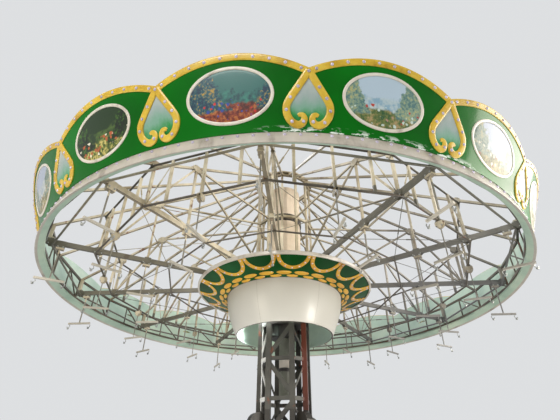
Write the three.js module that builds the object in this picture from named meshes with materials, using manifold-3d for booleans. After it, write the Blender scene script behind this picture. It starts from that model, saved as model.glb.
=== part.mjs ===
// Chair swing ride: a ring of scalloped crown panels on a twelve-arm lattice rotor,
// turning on a lattice mast that stands on a cross of ground beams.
// Millimetres, +Z up, ground at Z = 0, mast axis on the Z axis.
import * as THREE from 'three';
import { mergeVertices } from 'three/addons/utils/BufferGeometryUtils.js';
import Module from 'manifold-3d';

const wasm = await Module();
wasm.setup();

// Driving sizes
const JOIN_GAP = 0.4;
const MESH_TOLERANCE = 0.05;

const RIM_R = 5000;
const RIM_Z = 5050;
const BAND_HEIGHT = 175;
const BAND_THICK = 25;
const BAND_LIP_R = RIM_R + 30;
const BAND_LIP_Z = RIM_Z - 20;
const BAND_INNER_R = RIM_R - 140;
const BAND_INNER_Z = RIM_Z + 90;
const BAND_INNER_THICK = 15;

const PANEL_COUNT = 16;
const PANEL_FIRST_DEG = 18.45;
const PANEL_THICK = 20;
const FACETS_PER_PANEL = 6;
const FLARE_DEG = 22.7;
const CUSP_HEIGHT = 991;
const APEX_HEIGHT = 1213;
const ARCH_WIDTH = 90;
const RELIEF = 12;
const OVAL_HALF_WIDTH = 568;
const OVAL_HALF_HEIGHT = 385;
const OVAL_HEIGHT = 665;
const HEART_BOTTOM = 190;
const HEART_HALF_WIDTH = 339;
const HEART_WIDEST = 440;

const ARM_COUNT = 12;
const ARM_Z = 5290;
const ARM_WIDTH = 60;
const ARM_DEPTH = 90;
const ARM_TUBE = 45;
const HUB_R = 650;
const HUB_TUBE = 50;
const HUB_TOP_Z = 8130;
const HUB_MIDDLE_Z = 6840;
const RIM_TRUSS_R = RIM_R - 70;
const RIM_TRUSS_TUBE_HALF = 22;
const RIM_TRUSS_HIGH_Z = RIM_Z + 580;
const RIM_POST = 34;
const RIM_STAY = 24;
const ARM_INNER_R = HUB_R + HUB_TUBE / 2 + JOIN_GAP;
const ARM_OUTER_R = RIM_TRUSS_R - RIM_TRUSS_TUBE_HALF - JOIN_GAP;
const RAFTER_TOP_Z = 8080;
const TIE_R = 3080;

const RING_R = 4050;
const RING_TUBE_HALF = 17;
const RING_POST = 50;
const RING_POST_SHARES = [0.2, 0.5, 0.8];
const OUTER_RING_R = 4800;
const OUTER_RING_TUBE_HALF = 20;
const INNER_RING_R = 2630;

const BRACKET_RADII = [TIE_R, 4650];
const BRACKET_LENGTH = 140;
const BRACKET_WIDTH = 80;
const BRACKET_HEIGHT = 170;
const HANGER_DROP = 670;
const HANGER_ROD = 20;
const SPREADER_LENGTH = 500;
const SPREADER_TUBE = 36;

const BEARING_Z = 4960;
const COLUMN_R = 400;
const COLUMN_TOP_Z = 7900;
const COLLAR_Z = 6980;
const COLLAR_R = 430;
const COLLAR_HALF = 85;

const CONE_R = 1940;
const CONE_RIM_WIDTH = 41;
const CONE_Z = 5190;
const DRUM_TOP_R = 1263;
const DRUM_TOP_Z = 4980;
const DRUM_BOTTOM_R = 1038;
const DRUM_BOTTOM_Z = 4172;
const DRUM_LIP = 35;
const SHELL_THICK = 15;

const MAST_TURN_DEG = -6.5;
const MAST_HALF = 500;
const MAST_PAIR = 282;
const MAST_LEG = 100;
const MAST_TIE = 70;
const MAST_TIE_Z = 2910;
const MAST_BAY = 725;
const MAST_JOINT_Z = 2200;
const HOUSING_R = 380;
const HOUSING_BOTTOM_Z = 4380;
const GEARBOX_R = 280;
const GEARBOX_BOTTOM_Z = 4120;
const CENTRE_TUBE_R = 110;
const CENTRE_TUBE_BOTTOM_Z = 2960;

const KNUCKLE_R = 600;
const KNUCKLE_Z = 2480;
const KNUCKLE_HALF = 200;
const KNUCKLE_WIDTH = 140;
const STRUT_REACH = 2000;
const STRUT_TUBE = 110;

const BASE_HALF = 560;
const BASE_REACH = 2600;
const BASE_Z = 260;
const FOOT_SIZE = 420;
const FOOT_THICK = 60;

// Finishes
const green = new THREE.MeshStandardMaterial({ color: '#0b7a1e' });
const cream = new THREE.MeshStandardMaterial({ color: '#e6ded0' });
const frameGrey = new THREE.MeshStandardMaterial({ color: '#6f6a58' });
const mastGrey = new THREE.MeshStandardMaterial({ color: '#4a4538' });

const group = new THREE.Group();

function rad(degrees) {
  return degrees * Math.PI / 180;
}

function point(x, y, z) {
  return new THREE.Vector3(x, y, z);
}

function polar(radius, degrees, z) {
  return point(radius * Math.cos(rad(degrees)), radius * Math.sin(rad(degrees)), z);
}

function clean(geometry) {
  geometry.deleteAttribute('normal');
  geometry.deleteAttribute('uv');
  return mergeVertices(geometry, 1e-3);
}

function signedVolume(geometry) {
  const position = geometry.attributes.position;
  const index = geometry.index.array;
  let total = 0;
  for (let i = 0; i < index.length; i += 3) {
    const a = new THREE.Vector3().fromBufferAttribute(position, index[i]);
    const b = new THREE.Vector3().fromBufferAttribute(position, index[i + 1]);
    const c = new THREE.Vector3().fromBufferAttribute(position, index[i + 2]);
    total += a.dot(b.cross(c)) / 6;
  }
  return total;
}

function solid(geometry) {
  const merged = clean(geometry);
  const index = Array.from(merged.index.array);
  const kept = [];
  for (let i = 0; i < index.length; i += 3) {
    const [a, b, c] = index.slice(i, i + 3);
    if (a !== b && b !== c && c !== a) kept.push(a, b, c);
  }
  merged.setIndex(kept);
  if (signedVolume(merged) < 0) {
    for (let i = 0; i < kept.length; i += 3) {
      const swap = kept[i];
      kept[i] = kept[i + 1];
      kept[i + 1] = swap;
    }
    merged.setIndex(kept);
  }
  const mesh = new wasm.Mesh({
    numProp: 3,
    vertProperties: new Float32Array(merged.attributes.position.array),
    triVerts: new Uint32Array(kept),
  });
  return new wasm.Manifold(mesh);
}

function fuse(solids) {
  let result = solids[0];
  for (const next of solids.slice(1)) {
    result = result.add(next);
  }
  return result.simplify(MESH_TOLERANCE);
}

function toGeometry(manifold) {
  const mesh = manifold.getMesh();
  const geometry = new THREE.BufferGeometry();
  const positions = new Float32Array(mesh.numVert * 3);
  for (let i = 0; i < mesh.numVert; i += 1) {
    for (let k = 0; k < 3; k += 1) {
      positions[3 * i + k] = mesh.vertProperties[mesh.numProp * i + k];
    }
  }
  geometry.setAttribute('position', new THREE.BufferAttribute(positions, 3));
  geometry.setIndex(Array.from(mesh.triVerts));
  return geometry;
}

function addNode(name, manifold, material, turnDeg = 0) {
  const mesh = new THREE.Mesh(toGeometry(manifold), material);
  mesh.name = name;
  mesh.rotation.z = rad(turnDeg);
  group.add(mesh);
}

// A straight square bar between two points, its depth in the upright plane.
function bar(from, to, width, depth = width, grow = 0) {
  const along = to.clone().sub(from).normalize();
  const upHint = Math.abs(along.z) > 0.95 ? point(1, 0, 0) : point(0, 0, 1);
  const side = upHint.clone().cross(along).normalize();
  const up = along.clone().cross(side);
  const length = to.distanceTo(from) + 2 * grow;
  const geometry = new THREE.BoxGeometry(length, width, depth);
  const middle = from.clone().add(to).multiplyScalar(0.5);
  geometry.applyMatrix4(new THREE.Matrix4().makeBasis(along, side, up));
  geometry.translate(middle.x, middle.y, middle.z);
  return solid(geometry);
}

// An upright square post standing at a radius and angle, turned to face outwards.
function post(radius, degrees, bottom, top, size) {
  const geometry = new THREE.BoxGeometry(size, size, top - bottom);
  geometry.translate(radius, 0, (bottom + top) / 2);
  geometry.rotateZ(rad(degrees));
  return solid(geometry);
}

// A mitred polygon of tube around the axis, with its corners on the given angles.
function tubeRing(radius, z, half, segments, firstDeg = 0) {
  return ringPlate(radius - half, radius + half, z - half, z + half, segments, firstDeg);
}

// A turned shell from a closed profile of [radius, height] pairs.
function turned(profile, segments, firstDeg = 0) {
  const points = profile.concat([profile[0]]).map(([r, z]) => new THREE.Vector2(r, z));
  const geometry = new THREE.LatheGeometry(points, segments);
  geometry.rotateX(Math.PI / 2);
  geometry.rotateZ(rad(firstDeg));
  return solid(geometry);
}

function ringPlate(inner, outer, bottom, top, segments, firstDeg = 0) {
  const profile = [[inner, bottom], [outer, bottom], [outer, top], [inner, top]];
  return turned(profile, segments, firstDeg);
}

function block(x, y, z, cx, cy, cz) {
  const geometry = new THREE.BoxGeometry(x, y, z);
  geometry.translate(cx, cy, cz);
  return solid(geometry);
}

// Crown panels
function crownRadius(z) {
  return RIM_R + Math.max(0, z - RIM_Z - BAND_HEIGHT) * Math.tan(rad(FLARE_DEG));
}

// A plate on the flared crown between two upright outlines, given as heights above
// the rim for each column angle, and between two offsets from the crown surface.
function crownPlate(columns, inner, outer) {
  const positions = [];
  const index = [];
  for (const [angle, low, high] of columns) {
    for (const offset of [inner, outer]) {
      for (const height of [low, high]) {
        const z = RIM_Z + height;
        const p = polar((crownRadius(z) + offset) * facetShare(angle), angle, z);
        positions.push(p.x, p.y, p.z);
      }
    }
  }
  const last = columns.length - 1;
  const quad = (a, b, c, d) => index.push(a, b, c, a, c, d);
  for (let i = 0; i < last; i += 1) {
    const a = 4 * i;
    const b = a + 4;
    quad(a, a + 1, b + 1, b);
    quad(a + 2, b + 2, b + 3, a + 3);
    quad(a, b, b + 2, a + 2);
    quad(a + 1, a + 3, b + 3, b + 1);
  }
  quad(0, 2, 3, 1);
  quad(4 * last, 4 * last + 1, 4 * last + 3, 4 * last + 2);
  const geometry = new THREE.BufferGeometry();
  geometry.setAttribute('position', new THREE.BufferAttribute(new Float32Array(positions), 3));
  geometry.setIndex(index);
  return solid(geometry);
}

// Each panel has flat facets; between their edges the surface lies on the chord.
function facetShare(angle) {
  const facet = 360 / PANEL_COUNT / FACETS_PER_PANEL;
  const middle = (Math.floor(angle / facet + 1e-9) + 0.5) * facet;
  return Math.cos(rad(facet / 2)) / Math.cos(rad(angle - middle));
}

const panelHalfDeg = 180 / PANEL_COUNT - JOIN_GAP / 2 / RIM_R * 180 / Math.PI;

function archHeight(angle) {
  const share = Math.min(1, Math.abs(angle) / (180 / PANEL_COUNT));
  return CUSP_HEIGHT + (APEX_HEIGHT - CUSP_HEIGHT) * (1 - share * share);
}

// Facet edges across one panel
function facetAngles() {
  const even = columnAngles(-180 / PANEL_COUNT, 180 / PANEL_COUNT, FACETS_PER_PANEL);
  return even.map((a) => Math.max(-panelHalfDeg, Math.min(panelHalfDeg, a)));
}

function columnAngles(from, to, count) {
  return Array.from({ length: count + 1 }, (_, i) => from + (to - from) * i / count);
}

function panelShell() {
  const columns = facetAngles().map((a) => [a, BAND_HEIGHT + JOIN_GAP, archHeight(a)]);
  return crownPlate(columns, -PANEL_THICK, 0);
}

function archBand() {
  const columns = facetAngles().map((a) => [a, archHeight(a) - ARCH_WIDTH, archHeight(a) + 8]);
  return crownPlate(columns, -PANEL_THICK - 6, RELIEF);
}

function ovalBoss() {
  const halfDeg = OVAL_HALF_WIDTH / crownRadius(RIM_Z + OVAL_HEIGHT) * 180 / Math.PI;
  const columns = columnAngles(-90, 90, 6).map((turn) => {
    const reach = Math.max(0.05, Math.cos(rad(turn))) * OVAL_HALF_HEIGHT;
    return [halfDeg * Math.sin(rad(turn)), OVAL_HEIGHT - reach, OVAL_HEIGHT + reach];
  });
  return crownPlate(columns, -8, RELIEF);
}

// Half of the upside-down heart at a panel's edge: its tip is at the valley between
// two arches and its lobe is at the bottom.
function halfHeart(side) {
  const radius = crownRadius(RIM_Z + HEART_WIDEST);
  const widthDeg = HEART_HALF_WIDTH / radius * 180 / Math.PI;
  const columns = columnAngles(0, 1, 3).map((share) => {
    const lobe = Math.sqrt(Math.max(0.004, 1 - (2 * share - 1) * (2 * share - 1)));
    const fromLobe = HEART_WIDEST - (HEART_WIDEST - HEART_BOTTOM) * (0.35 + 0.65 * lobe);
    const low = share > 0.5 ? HEART_WIDEST - (HEART_WIDEST - HEART_BOTTOM) * lobe : fromLobe;
    const high = CUSP_HEIGHT - (CUSP_HEIGHT - HEART_WIDEST) * Math.pow(share, 1.2) + 6;
    return [side * (panelHalfDeg - widthDeg * share), low, high];
  });
  if (side > 0) columns.reverse();
  return crownPlate(columns, -8, RELIEF + 8);
}

function crownPanels() {
  const panel = fuse([panelShell(), archBand(), ovalBoss(), halfHeart(-1), halfHeart(1)]);
  for (let i = 0; i < PANEL_COUNT; i += 1) {
    const name = `crown_panel_${String(i + 1).padStart(2, '0')}`;
    addNode(name, panel, green, PANEL_FIRST_DEG + i * 360 / PANEL_COUNT);
  }
}

// Lower band of the crown: a face that leans out to its lower edge, an underside that
// rises inwards from that edge and a ledge back to the face
function rimBand() {
  const ledgeZ = BAND_INNER_Z + BAND_INNER_THICK;
  const profile = [
    [RIM_R, RIM_Z + BAND_HEIGHT],
    [BAND_LIP_R, BAND_LIP_Z],
    [BAND_INNER_R, BAND_INNER_Z],
    [BAND_INNER_R, ledgeZ],
    [RIM_R - 45, ledgeZ],
    [RIM_R - BAND_THICK, RIM_Z + BAND_HEIGHT],
  ];
  addNode('rim_band', turned(profile, PANEL_COUNT * FACETS_PER_PANEL, PANEL_FIRST_DEG), cream);
}

// Two tube rings behind the crown joined by uprights and by one stay in each bay
function rimTruss() {
  const half = RIM_TRUSS_TUBE_HALF;
  const low = BAND_INNER_Z + BAND_INNER_THICK + half + JOIN_GAP;
  const high = RIM_TRUSS_HIGH_Z;
  const corners = 2 * ARM_COUNT;
  const step = 180 / corners;
  const middleR = RIM_TRUSS_R * Math.cos(rad(step));
  const parts = [
    tubeRing(RIM_TRUSS_R, low, half, corners),
    tubeRing(RIM_TRUSS_R, high, half, corners),
  ];
  for (let i = 0; i < corners; i += 1) {
    const angle = 2 * i * step;
    parts.push(post(RIM_TRUSS_R, angle, low, high, RIM_POST));
    parts.push(post(middleR, angle + step, low, high, RIM_STAY));
    parts.push(bar(polar(RIM_TRUSS_R, angle, low), polar(middleR, angle + step, high), RIM_STAY));
  }
  addNode('rim_truss', fuse(parts), frameGrey);
}

// The rafters fall in a straight line from the hub's top to the rim truss.
function rafterZ(radius) {
  const share = (radius - ARM_INNER_R) / (ARM_OUTER_R - ARM_INNER_R);
  return RAFTER_TOP_Z + (RIM_TRUSS_HIGH_Z - RAFTER_TOP_Z) * share;
}

function rafter() {
  const from = point(ARM_INNER_R, 0, rafterZ(ARM_INNER_R));
  const to = point(ARM_OUTER_R, 0, rafterZ(ARM_OUTER_R));
  return bar(from, to, ARM_TUBE, ARM_TUBE, ARM_TUBE);
}

// Removes what runs past the faces that a radial piece butts against.
function trimmed(solidPiece) {
  const tall = 2 * HUB_TOP_Z;
  const inside = block(2 * ARM_INNER_R, 800, tall, 0, 0, 0);
  const outside = ringPlate(ARM_OUTER_R, RIM_R + 1000, -tall, tall, 2 * ARM_COUNT);
  return solidPiece.subtract(inside).subtract(outside);
}

// A hanger: a plate below a chord, a rod and a spreader bar that points outwards.
function hanger(radius, chordBottom, chordDepth) {
  const plateTop = chordBottom + chordDepth;
  const plateBottom = plateTop - BRACKET_HEIGHT;
  const rodBottom = chordBottom - HANGER_DROP;
  const rodLength = plateBottom + 20 - rodBottom;
  const plate = block(
    BRACKET_LENGTH, BRACKET_WIDTH, BRACKET_HEIGHT, radius, 0, (plateTop + plateBottom) / 2);
  const rod = block(HANGER_ROD, HANGER_ROD, rodLength, radius, 0, rodBottom + rodLength / 2);
  const spreader = block(
    SPREADER_LENGTH, SPREADER_TUBE, SPREADER_TUBE, radius, 0, rodBottom - SPREADER_TUBE / 4);
  return [plate, rod, spreader];
}

// One radial arm: bottom chord, rafter, three uprights and three diagonals
function armTruss() {
  const ringSlant = Math.tan(rad(180 / ARM_COUNT)) * ARM_TUBE / 2;
  const outerPost = RING_R - RING_TUBE_HALF - ARM_TUBE / 2 - ringSlant - JOIN_GAP;
  const chordLength = ARM_OUTER_R - ARM_INNER_R;
  const tieTop = point(TIE_R, 0, rafterZ(TIE_R));
  const endR = ARM_OUTER_R - ARM_WIDTH / 2;
  const parts = [
    block(chordLength, ARM_WIDTH, ARM_DEPTH, ARM_INNER_R + chordLength / 2, 0, ARM_Z),
    rafter(),
    bar(point(TIE_R, 0, ARM_Z), tieTop, ARM_TUBE - 6),
    bar(point(outerPost, 0, ARM_Z), point(outerPost, 0, rafterZ(outerPost)), ARM_TUBE),
    bar(point(endR, 0, ARM_Z), point(endR, 0, rafterZ(endR)), ARM_WIDTH),
    bar(tieTop, point(outerPost, 0, ARM_Z), ARM_TUBE - 10),
    bar(tieTop, point(ARM_INNER_R, 0, ARM_Z), ARM_TUBE - 10),
    bar(tieTop, point(ARM_INNER_R, 0, HUB_MIDDLE_Z), ARM_TUBE - 10, ARM_TUBE - 10, 20),
  ];
  for (const radius of BRACKET_RADII) {
    parts.push(...hanger(radius, ARM_Z - ARM_DEPTH / 2, ARM_DEPTH));
  }
  return trimmed(fuse(parts));
}

function arms() {
  const arm = armTruss();
  for (let i = 0; i < ARM_COUNT; i += 1) {
    addNode(`arm_${String(i + 1).padStart(2, '0')}`, arm, cream, i * 360 / ARM_COUNT);
  }
}

// The rafters midway between the arms and the collar that joins them on the hub
function roofFrame() {
  const collarZ = HUB_TOP_Z + JOIN_GAP;
  const parts = [ringPlate(HUB_R - 40, ARM_INNER_R + 60, collarZ, collarZ + 35, ARM_COUNT)];
  const between = 180 / ARM_COUNT;
  const peg = block(ARM_TUBE, ARM_TUBE, 110, ARM_INNER_R + ARM_TUBE / 2, 0, collarZ - 35);
  const piece = trimmed(fuse([rafter(), peg]));
  for (let i = 0; i < ARM_COUNT; i += 1) {
    parts.push(piece.rotate([0, 0, between + i * 360 / ARM_COUNT]));
  }
  addNode('roof_frame', fuse(parts), cream);
}

// Ring truss through the arms: one tube ring below their chords, one below their
// rafters, posts between the two and a hanger at the middle of each bay
function ringTruss() {
  const low = ARM_Z - ARM_DEPTH / 2 - RING_TUBE_HALF - JOIN_GAP;
  const slope = (RAFTER_TOP_Z - RIM_TRUSS_HIGH_Z) / (ARM_OUTER_R - ARM_INNER_R);
  const rafterDepth = ARM_TUBE / 2 * Math.hypot(1, slope);
  const outerEdge = RING_R + RING_TUBE_HALF;
  const high = rafterZ(outerEdge) - rafterDepth - RING_TUBE_HALF - JOIN_GAP;
  const bay = 360 / ARM_COUNT;
  const parts = [
    tubeRing(RING_R, low, RING_TUBE_HALF, ARM_COUNT),
    tubeRing(RING_R, high, RING_TUBE_HALF, ARM_COUNT),
  ];
  const middleR = RING_R * Math.cos(rad(bay / 2));
  const hangerParts = fuse(hanger(middleR, low - RING_TUBE_HALF, 2 * RING_TUBE_HALF));
  for (let i = 0; i < ARM_COUNT; i += 1) {
    const from = polar(RING_R, i * bay, 0);
    const to = polar(RING_R, (i + 1) * bay, 0);
    const at = (share, z) => from.clone().lerp(to, share).setZ(z);
    for (const share of RING_POST_SHARES) {
      parts.push(bar(at(share, low), at(share, high), RING_POST));
    }
    parts.push(hangerParts.rotate([0, 0, (i + 0.5) * bay]));
  }
  addNode('ring_truss', fuse(parts), frameGrey);
}

// Two more tube rings below the arms' chords: one near the cone, one near the rim
function tieRings() {
  const chordBottom = ARM_Z - ARM_DEPTH / 2 - JOIN_GAP;
  const innerZ = chordBottom - RING_TUBE_HALF;
  const outerZ = chordBottom - OUTER_RING_TUBE_HALF;
  const outer = tubeRing(OUTER_RING_R, outerZ, OUTER_RING_TUBE_HALF, ARM_COUNT);
  addNode('inner_ring', tubeRing(INNER_RING_R, innerZ, RING_TUBE_HALF, ARM_COUNT), frameGrey);
  addNode('outer_ring', outer, frameGrey);
}

// Hub
function hubCage() {
  const seat = BEARING_Z + 60;
  const outer = HUB_R + HUB_TUBE / 2;
  const parts = [
    ringPlate(COLUMN_R + 110, outer, seat, seat + 40, ARM_COUNT),
    ringPlate(HUB_R - 30, outer, HUB_MIDDLE_Z - 30, HUB_MIDDLE_Z + 30, ARM_COUNT),
    ringPlate(HUB_R - 30, outer, HUB_TOP_Z - 60, HUB_TOP_Z, ARM_COUNT),
  ];
  for (let i = 0; i < ARM_COUNT; i += 1) {
    parts.push(post(HUB_R, i * 360 / ARM_COUNT, seat + 20, HUB_TOP_Z - 20, HUB_TUBE));
  }
  addNode('hub_cage', fuse(parts), cream);
}

// Spokes that carry the inner cone and the drum from the hub
function coneSpider() {
  const z = CONE_Z - 20 + SHELL_THICK + JOIN_GAP + 13;
  const inner = HUB_R + HUB_TUBE / 2 + JOIN_GAP;
  const outer = CONE_R - CONE_RIM_WIDTH - 5 * JOIN_GAP;
  const parts = [ringPlate(1180, 1225, z - 50, z, ARM_COUNT)];
  for (let i = 0; i < 6; i += 1) {
    const spoke = block(outer - inner, 40, 26, (outer + inner) / 2, 0, z);
    parts.push(spoke.rotate([0, 0, i * 60]));
  }
  addNode('cone_spider', fuse(parts), frameGrey);
}

function coneAndDrum() {
  const rimBottom = CONE_Z - 20;
  const cone = [
    [DRUM_TOP_R + 21 + JOIN_GAP, DRUM_TOP_Z],
    [CONE_R - CONE_RIM_WIDTH - JOIN_GAP, rimBottom],
    [CONE_R - CONE_RIM_WIDTH - JOIN_GAP, rimBottom + SHELL_THICK],
    [DRUM_TOP_R + 21 + JOIN_GAP, DRUM_TOP_Z + SHELL_THICK],
  ];
  addNode('cone_canopy', turned(cone, 36), green);
  addNode('cone_rim', ringPlate(CONE_R - CONE_RIM_WIDTH, CONE_R, CONE_Z - 35, CONE_Z + 30, 36), cream);
  const height = DRUM_TOP_Z - DRUM_BOTTOM_Z;
  const outer = [];
  for (const share of [0, 0.3, 0.6, 1]) {
    const bulge = Math.sin(share * Math.PI / 2);
    outer.push([DRUM_BOTTOM_R + (DRUM_TOP_R - DRUM_BOTTOM_R) * bulge, DRUM_BOTTOM_Z + height * share]);
  }
  const lipTop = DRUM_BOTTOM_Z + SHELL_THICK;
  const inner = outer.map(([r, z]) => [r - SHELL_THICK, Math.max(z, lipTop)]).reverse();
  const lipR = DRUM_BOTTOM_R - DRUM_LIP;
  const edgeR = DRUM_TOP_R + 21;
  const edge = [[edgeR, DRUM_TOP_Z], [edgeR, DRUM_TOP_Z + 20], [DRUM_TOP_R - SHELL_THICK, DRUM_TOP_Z + 20]];
  const drum = [...outer, ...edge, ...inner, [lipR, lipTop], [lipR, DRUM_BOTTOM_Z]];
  addNode('drum', turned(drum, 36), cream);
}

// Mast
function mastLegs(half, pair) {
  return [
    [-pair, -half], [pair, -half], [half, -pair], [half, pair],
    [pair, half], [-pair, half], [-half, pair], [-half, -pair],
  ];
}

// Heights of the level ties between two ends, the end ties flush with them
function tieLevels(bottom, top) {
  const levels = [bottom + MAST_TIE / 2];
  for (let z = MAST_TIE_Z - 4 * MAST_BAY; z < top - MAST_TIE * 2; z += MAST_BAY) {
    if (z > bottom + MAST_TIE * 2) levels.push(z);
  }
  levels.push(top - MAST_TIE / 2);
  return levels;
}

// Legs with level ties at each height and one diagonal in each bay of each face: flat
// bars on the four wide faces and thin ones across the cut corners.
function lattice(legs, bottom, top, firstBay) {
  const parts = [];
  const levels = tieLevels(bottom, top);
  for (const [x, y] of legs) {
    parts.push(block(MAST_LEG, MAST_LEG, top - bottom, x, y, (top + bottom) / 2));
  }
  for (let i = 0; i < legs.length; i += 1) {
    const [ax, ay] = legs[i];
    const [bx, by] = legs[(i + 1) % legs.length];
    const wide = i % 2 === 0;
    for (const z of levels) {
      parts.push(bar(point(ax, ay, z), point(bx, by, z), MAST_TIE * 0.7, MAST_TIE));
    }
    for (let k = 0; k + 1 < levels.length; k += 1) {
      const swap = (Math.floor(i / 2) + k + firstBay + (wide ? 0 : 1)) % 2 === 0;
      const [start, end] = swap ? [[ax, ay], [bx, by]] : [[bx, by], [ax, ay]];
      const from = point(...start, levels[k] + MAST_TIE);
      const to = point(...end, levels[k + 1] - MAST_TIE);
      parts.push(wide ? bar(from, to, 36, 84) : bar(from, to, 28, 32));
    }
  }
  return fuse(parts);
}

// Rounded knuckle on each cut corner, where a raking strut meets the mast
function knuckle() {
  const geometry = new THREE.CylinderGeometry(KNUCKLE_HALF, KNUCKLE_HALF, KNUCKLE_WIDTH, 20);
  geometry.translate(KNUCKLE_R, 0, KNUCKLE_Z);
  return solid(geometry);
}

function mast() {
  const legs = mastLegs(MAST_HALF - MAST_LEG / 2, MAST_PAIR - MAST_LEG / 2);
  const joint = ringPlate(300, MAST_HALF * 1.2, MAST_JOINT_Z, MAST_JOINT_Z + 20, 8, 22.5);
  const bottom = MAST_JOINT_Z + 20 + JOIN_GAP;
  const upper = [lattice(legs, bottom, BEARING_Z - 60, 0)];
  for (let i = 0; i < 4; i += 1) {
    upper.push(knuckle().rotate([0, 0, 45 + 90 * i]));
  }
  addNode('mast_upper', fuse(upper), mastGrey, MAST_TURN_DEG);
  const lower = lattice(legs, BASE_Z + JOIN_GAP, MAST_JOINT_Z, 1);
  addNode('mast_lower', fuse([lower, joint]), mastGrey, MAST_TURN_DEG);
}

// Turning gear that hangs in the top of the mast, and the tube for the cables below it
function turningGear() {
  const top = BEARING_Z - 60;
  const housing = [
    [CENTRE_TUBE_R + JOIN_GAP, top],
    [HOUSING_R, top],
    [HOUSING_R, HOUSING_BOTTOM_Z],
    [GEARBOX_R, HOUSING_BOTTOM_Z],
    [GEARBOX_R, GEARBOX_BOTTOM_Z],
    [CENTRE_TUBE_R + JOIN_GAP, GEARBOX_BOTTOM_Z],
  ];
  addNode('turning_gear', turned(housing, 20), mastGrey, MAST_TURN_DEG);
  const ringZ = MAST_TIE_Z + 0.8 * MAST_BAY;
  const tube = [
    [0, CENTRE_TUBE_BOTTOM_Z],
    [CENTRE_TUBE_R, CENTRE_TUBE_BOTTOM_Z],
    [CENTRE_TUBE_R, ringZ - 25],
    [CENTRE_TUBE_R + 18, ringZ - 25],
    [CENTRE_TUBE_R + 18, ringZ + 25],
    [CENTRE_TUBE_R, ringZ + 25],
    [CENTRE_TUBE_R, top],
    [0, top],
  ];
  addNode('cable_tube', turned(tube, 20), mastGrey, MAST_TURN_DEG);
}

// Top plate of the mast with the fixed half of the slewing bearing
function mastCap() {
  const seat = BEARING_Z - 60 + JOIN_GAP;
  const plate = ringPlate(60, 600, seat, seat + 20, 24);
  const track = ringPlate(480, 600, seat + 10, BEARING_Z + 60 - JOIN_GAP, 24);
  addNode('mast_cap', fuse([plate, track]), mastGrey);
}

// Round column that stands on the mast inside the hub, with a collar part way up
function centreColumn() {
  const bottom = BEARING_Z - 40 + 2 * JOIN_GAP;
  const profile = [
    [0, bottom],
    [COLUMN_R, bottom],
    [COLUMN_R, COLLAR_Z - COLLAR_HALF],
    [COLLAR_R, COLLAR_Z - COLLAR_HALF],
    [COLLAR_R, COLLAR_Z + COLLAR_HALF],
    [COLUMN_R, COLLAR_Z + COLLAR_HALF],
    [COLUMN_R, COLUMN_TOP_Z],
    [0, COLUMN_TOP_Z],
  ];
  addNode('centre_column', turned(profile, 24), cream);
}

// A strut that leans from a ground beam up against its knuckle
function strut() {
  const foot = point(STRUT_REACH, 0, BASE_Z - 60);
  const head = point(KNUCKLE_R, 0, KNUCKLE_Z);
  const round = new THREE.CylinderGeometry(KNUCKLE_HALF + JOIN_GAP, KNUCKLE_HALF + JOIN_GAP, 400, 20);
  round.translate(KNUCKLE_R, 0, KNUCKLE_Z);
  return bar(foot, head, STRUT_TUBE).subtract(solid(round));
}

// Base: four ground beams in a cross, raking struts and foot plates
function base() {
  const parts = [block(2 * BASE_HALF, 2 * BASE_HALF, 60, 0, 0, BASE_Z - 30)];
  const beamDepth = BASE_Z - FOOT_THICK - 40;
  const beamZ = FOOT_THICK + beamDepth / 2;
  for (let i = 0; i < 4; i += 1) {
    const angle = 45 + 90 * i;
    parts.push(bar(polar(200, angle, beamZ), polar(BASE_REACH, angle, beamZ), 160, beamDepth));
    parts.push(bar(polar(1700, angle, beamZ), polar(1700, angle + 90, beamZ), 90, 120));
    parts.push(strut().rotate([0, 0, angle]));
  }
  addNode('base_frame', fuse(parts), mastGrey, MAST_TURN_DEG);
  const footTop = FOOT_THICK - JOIN_GAP;
  for (let i = 0; i < 4; i += 1) {
    const foot = block(FOOT_SIZE, FOOT_SIZE, footTop, BASE_REACH - 150, 0, footTop / 2);
    addNode(`foot_${i + 1}`, foot, mastGrey, 45 + 90 * i + MAST_TURN_DEG);
  }
}

crownPanels();
rimBand();
rimTruss();
arms();
ringTruss();
roofFrame();
tieRings();
hubCage();
coneSpider();
coneAndDrum();
mast();
turningGear();
mastCap();
centreColumn();
base();

export default group;
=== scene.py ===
# %% [markdown]
# # A chair swing ride
# The ride is a crown of scalloped fibreglass panels on twelve lattice arms, which turn on a
# lattice mast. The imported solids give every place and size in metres, with the mast on the
# Z axis and the ground at zero. This lesson dresses them, one kind of piece at a time.

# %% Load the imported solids
import math

import bmesh
import bpy
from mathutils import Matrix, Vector


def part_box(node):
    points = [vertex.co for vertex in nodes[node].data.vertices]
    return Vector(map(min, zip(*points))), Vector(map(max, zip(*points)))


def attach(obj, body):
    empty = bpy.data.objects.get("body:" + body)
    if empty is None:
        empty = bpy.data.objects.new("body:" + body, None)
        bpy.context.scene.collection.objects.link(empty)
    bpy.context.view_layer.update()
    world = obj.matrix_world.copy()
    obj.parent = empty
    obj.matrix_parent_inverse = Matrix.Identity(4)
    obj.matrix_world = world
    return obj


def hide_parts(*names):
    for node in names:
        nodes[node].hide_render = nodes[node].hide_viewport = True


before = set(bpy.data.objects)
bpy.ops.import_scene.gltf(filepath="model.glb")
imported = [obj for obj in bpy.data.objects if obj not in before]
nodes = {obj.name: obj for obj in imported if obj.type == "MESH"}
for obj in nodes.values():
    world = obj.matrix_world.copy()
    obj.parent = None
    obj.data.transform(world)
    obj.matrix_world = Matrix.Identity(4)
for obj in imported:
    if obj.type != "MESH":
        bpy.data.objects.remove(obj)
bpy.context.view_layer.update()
scene = bpy.context.scene
print("solids", len(nodes))

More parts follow.
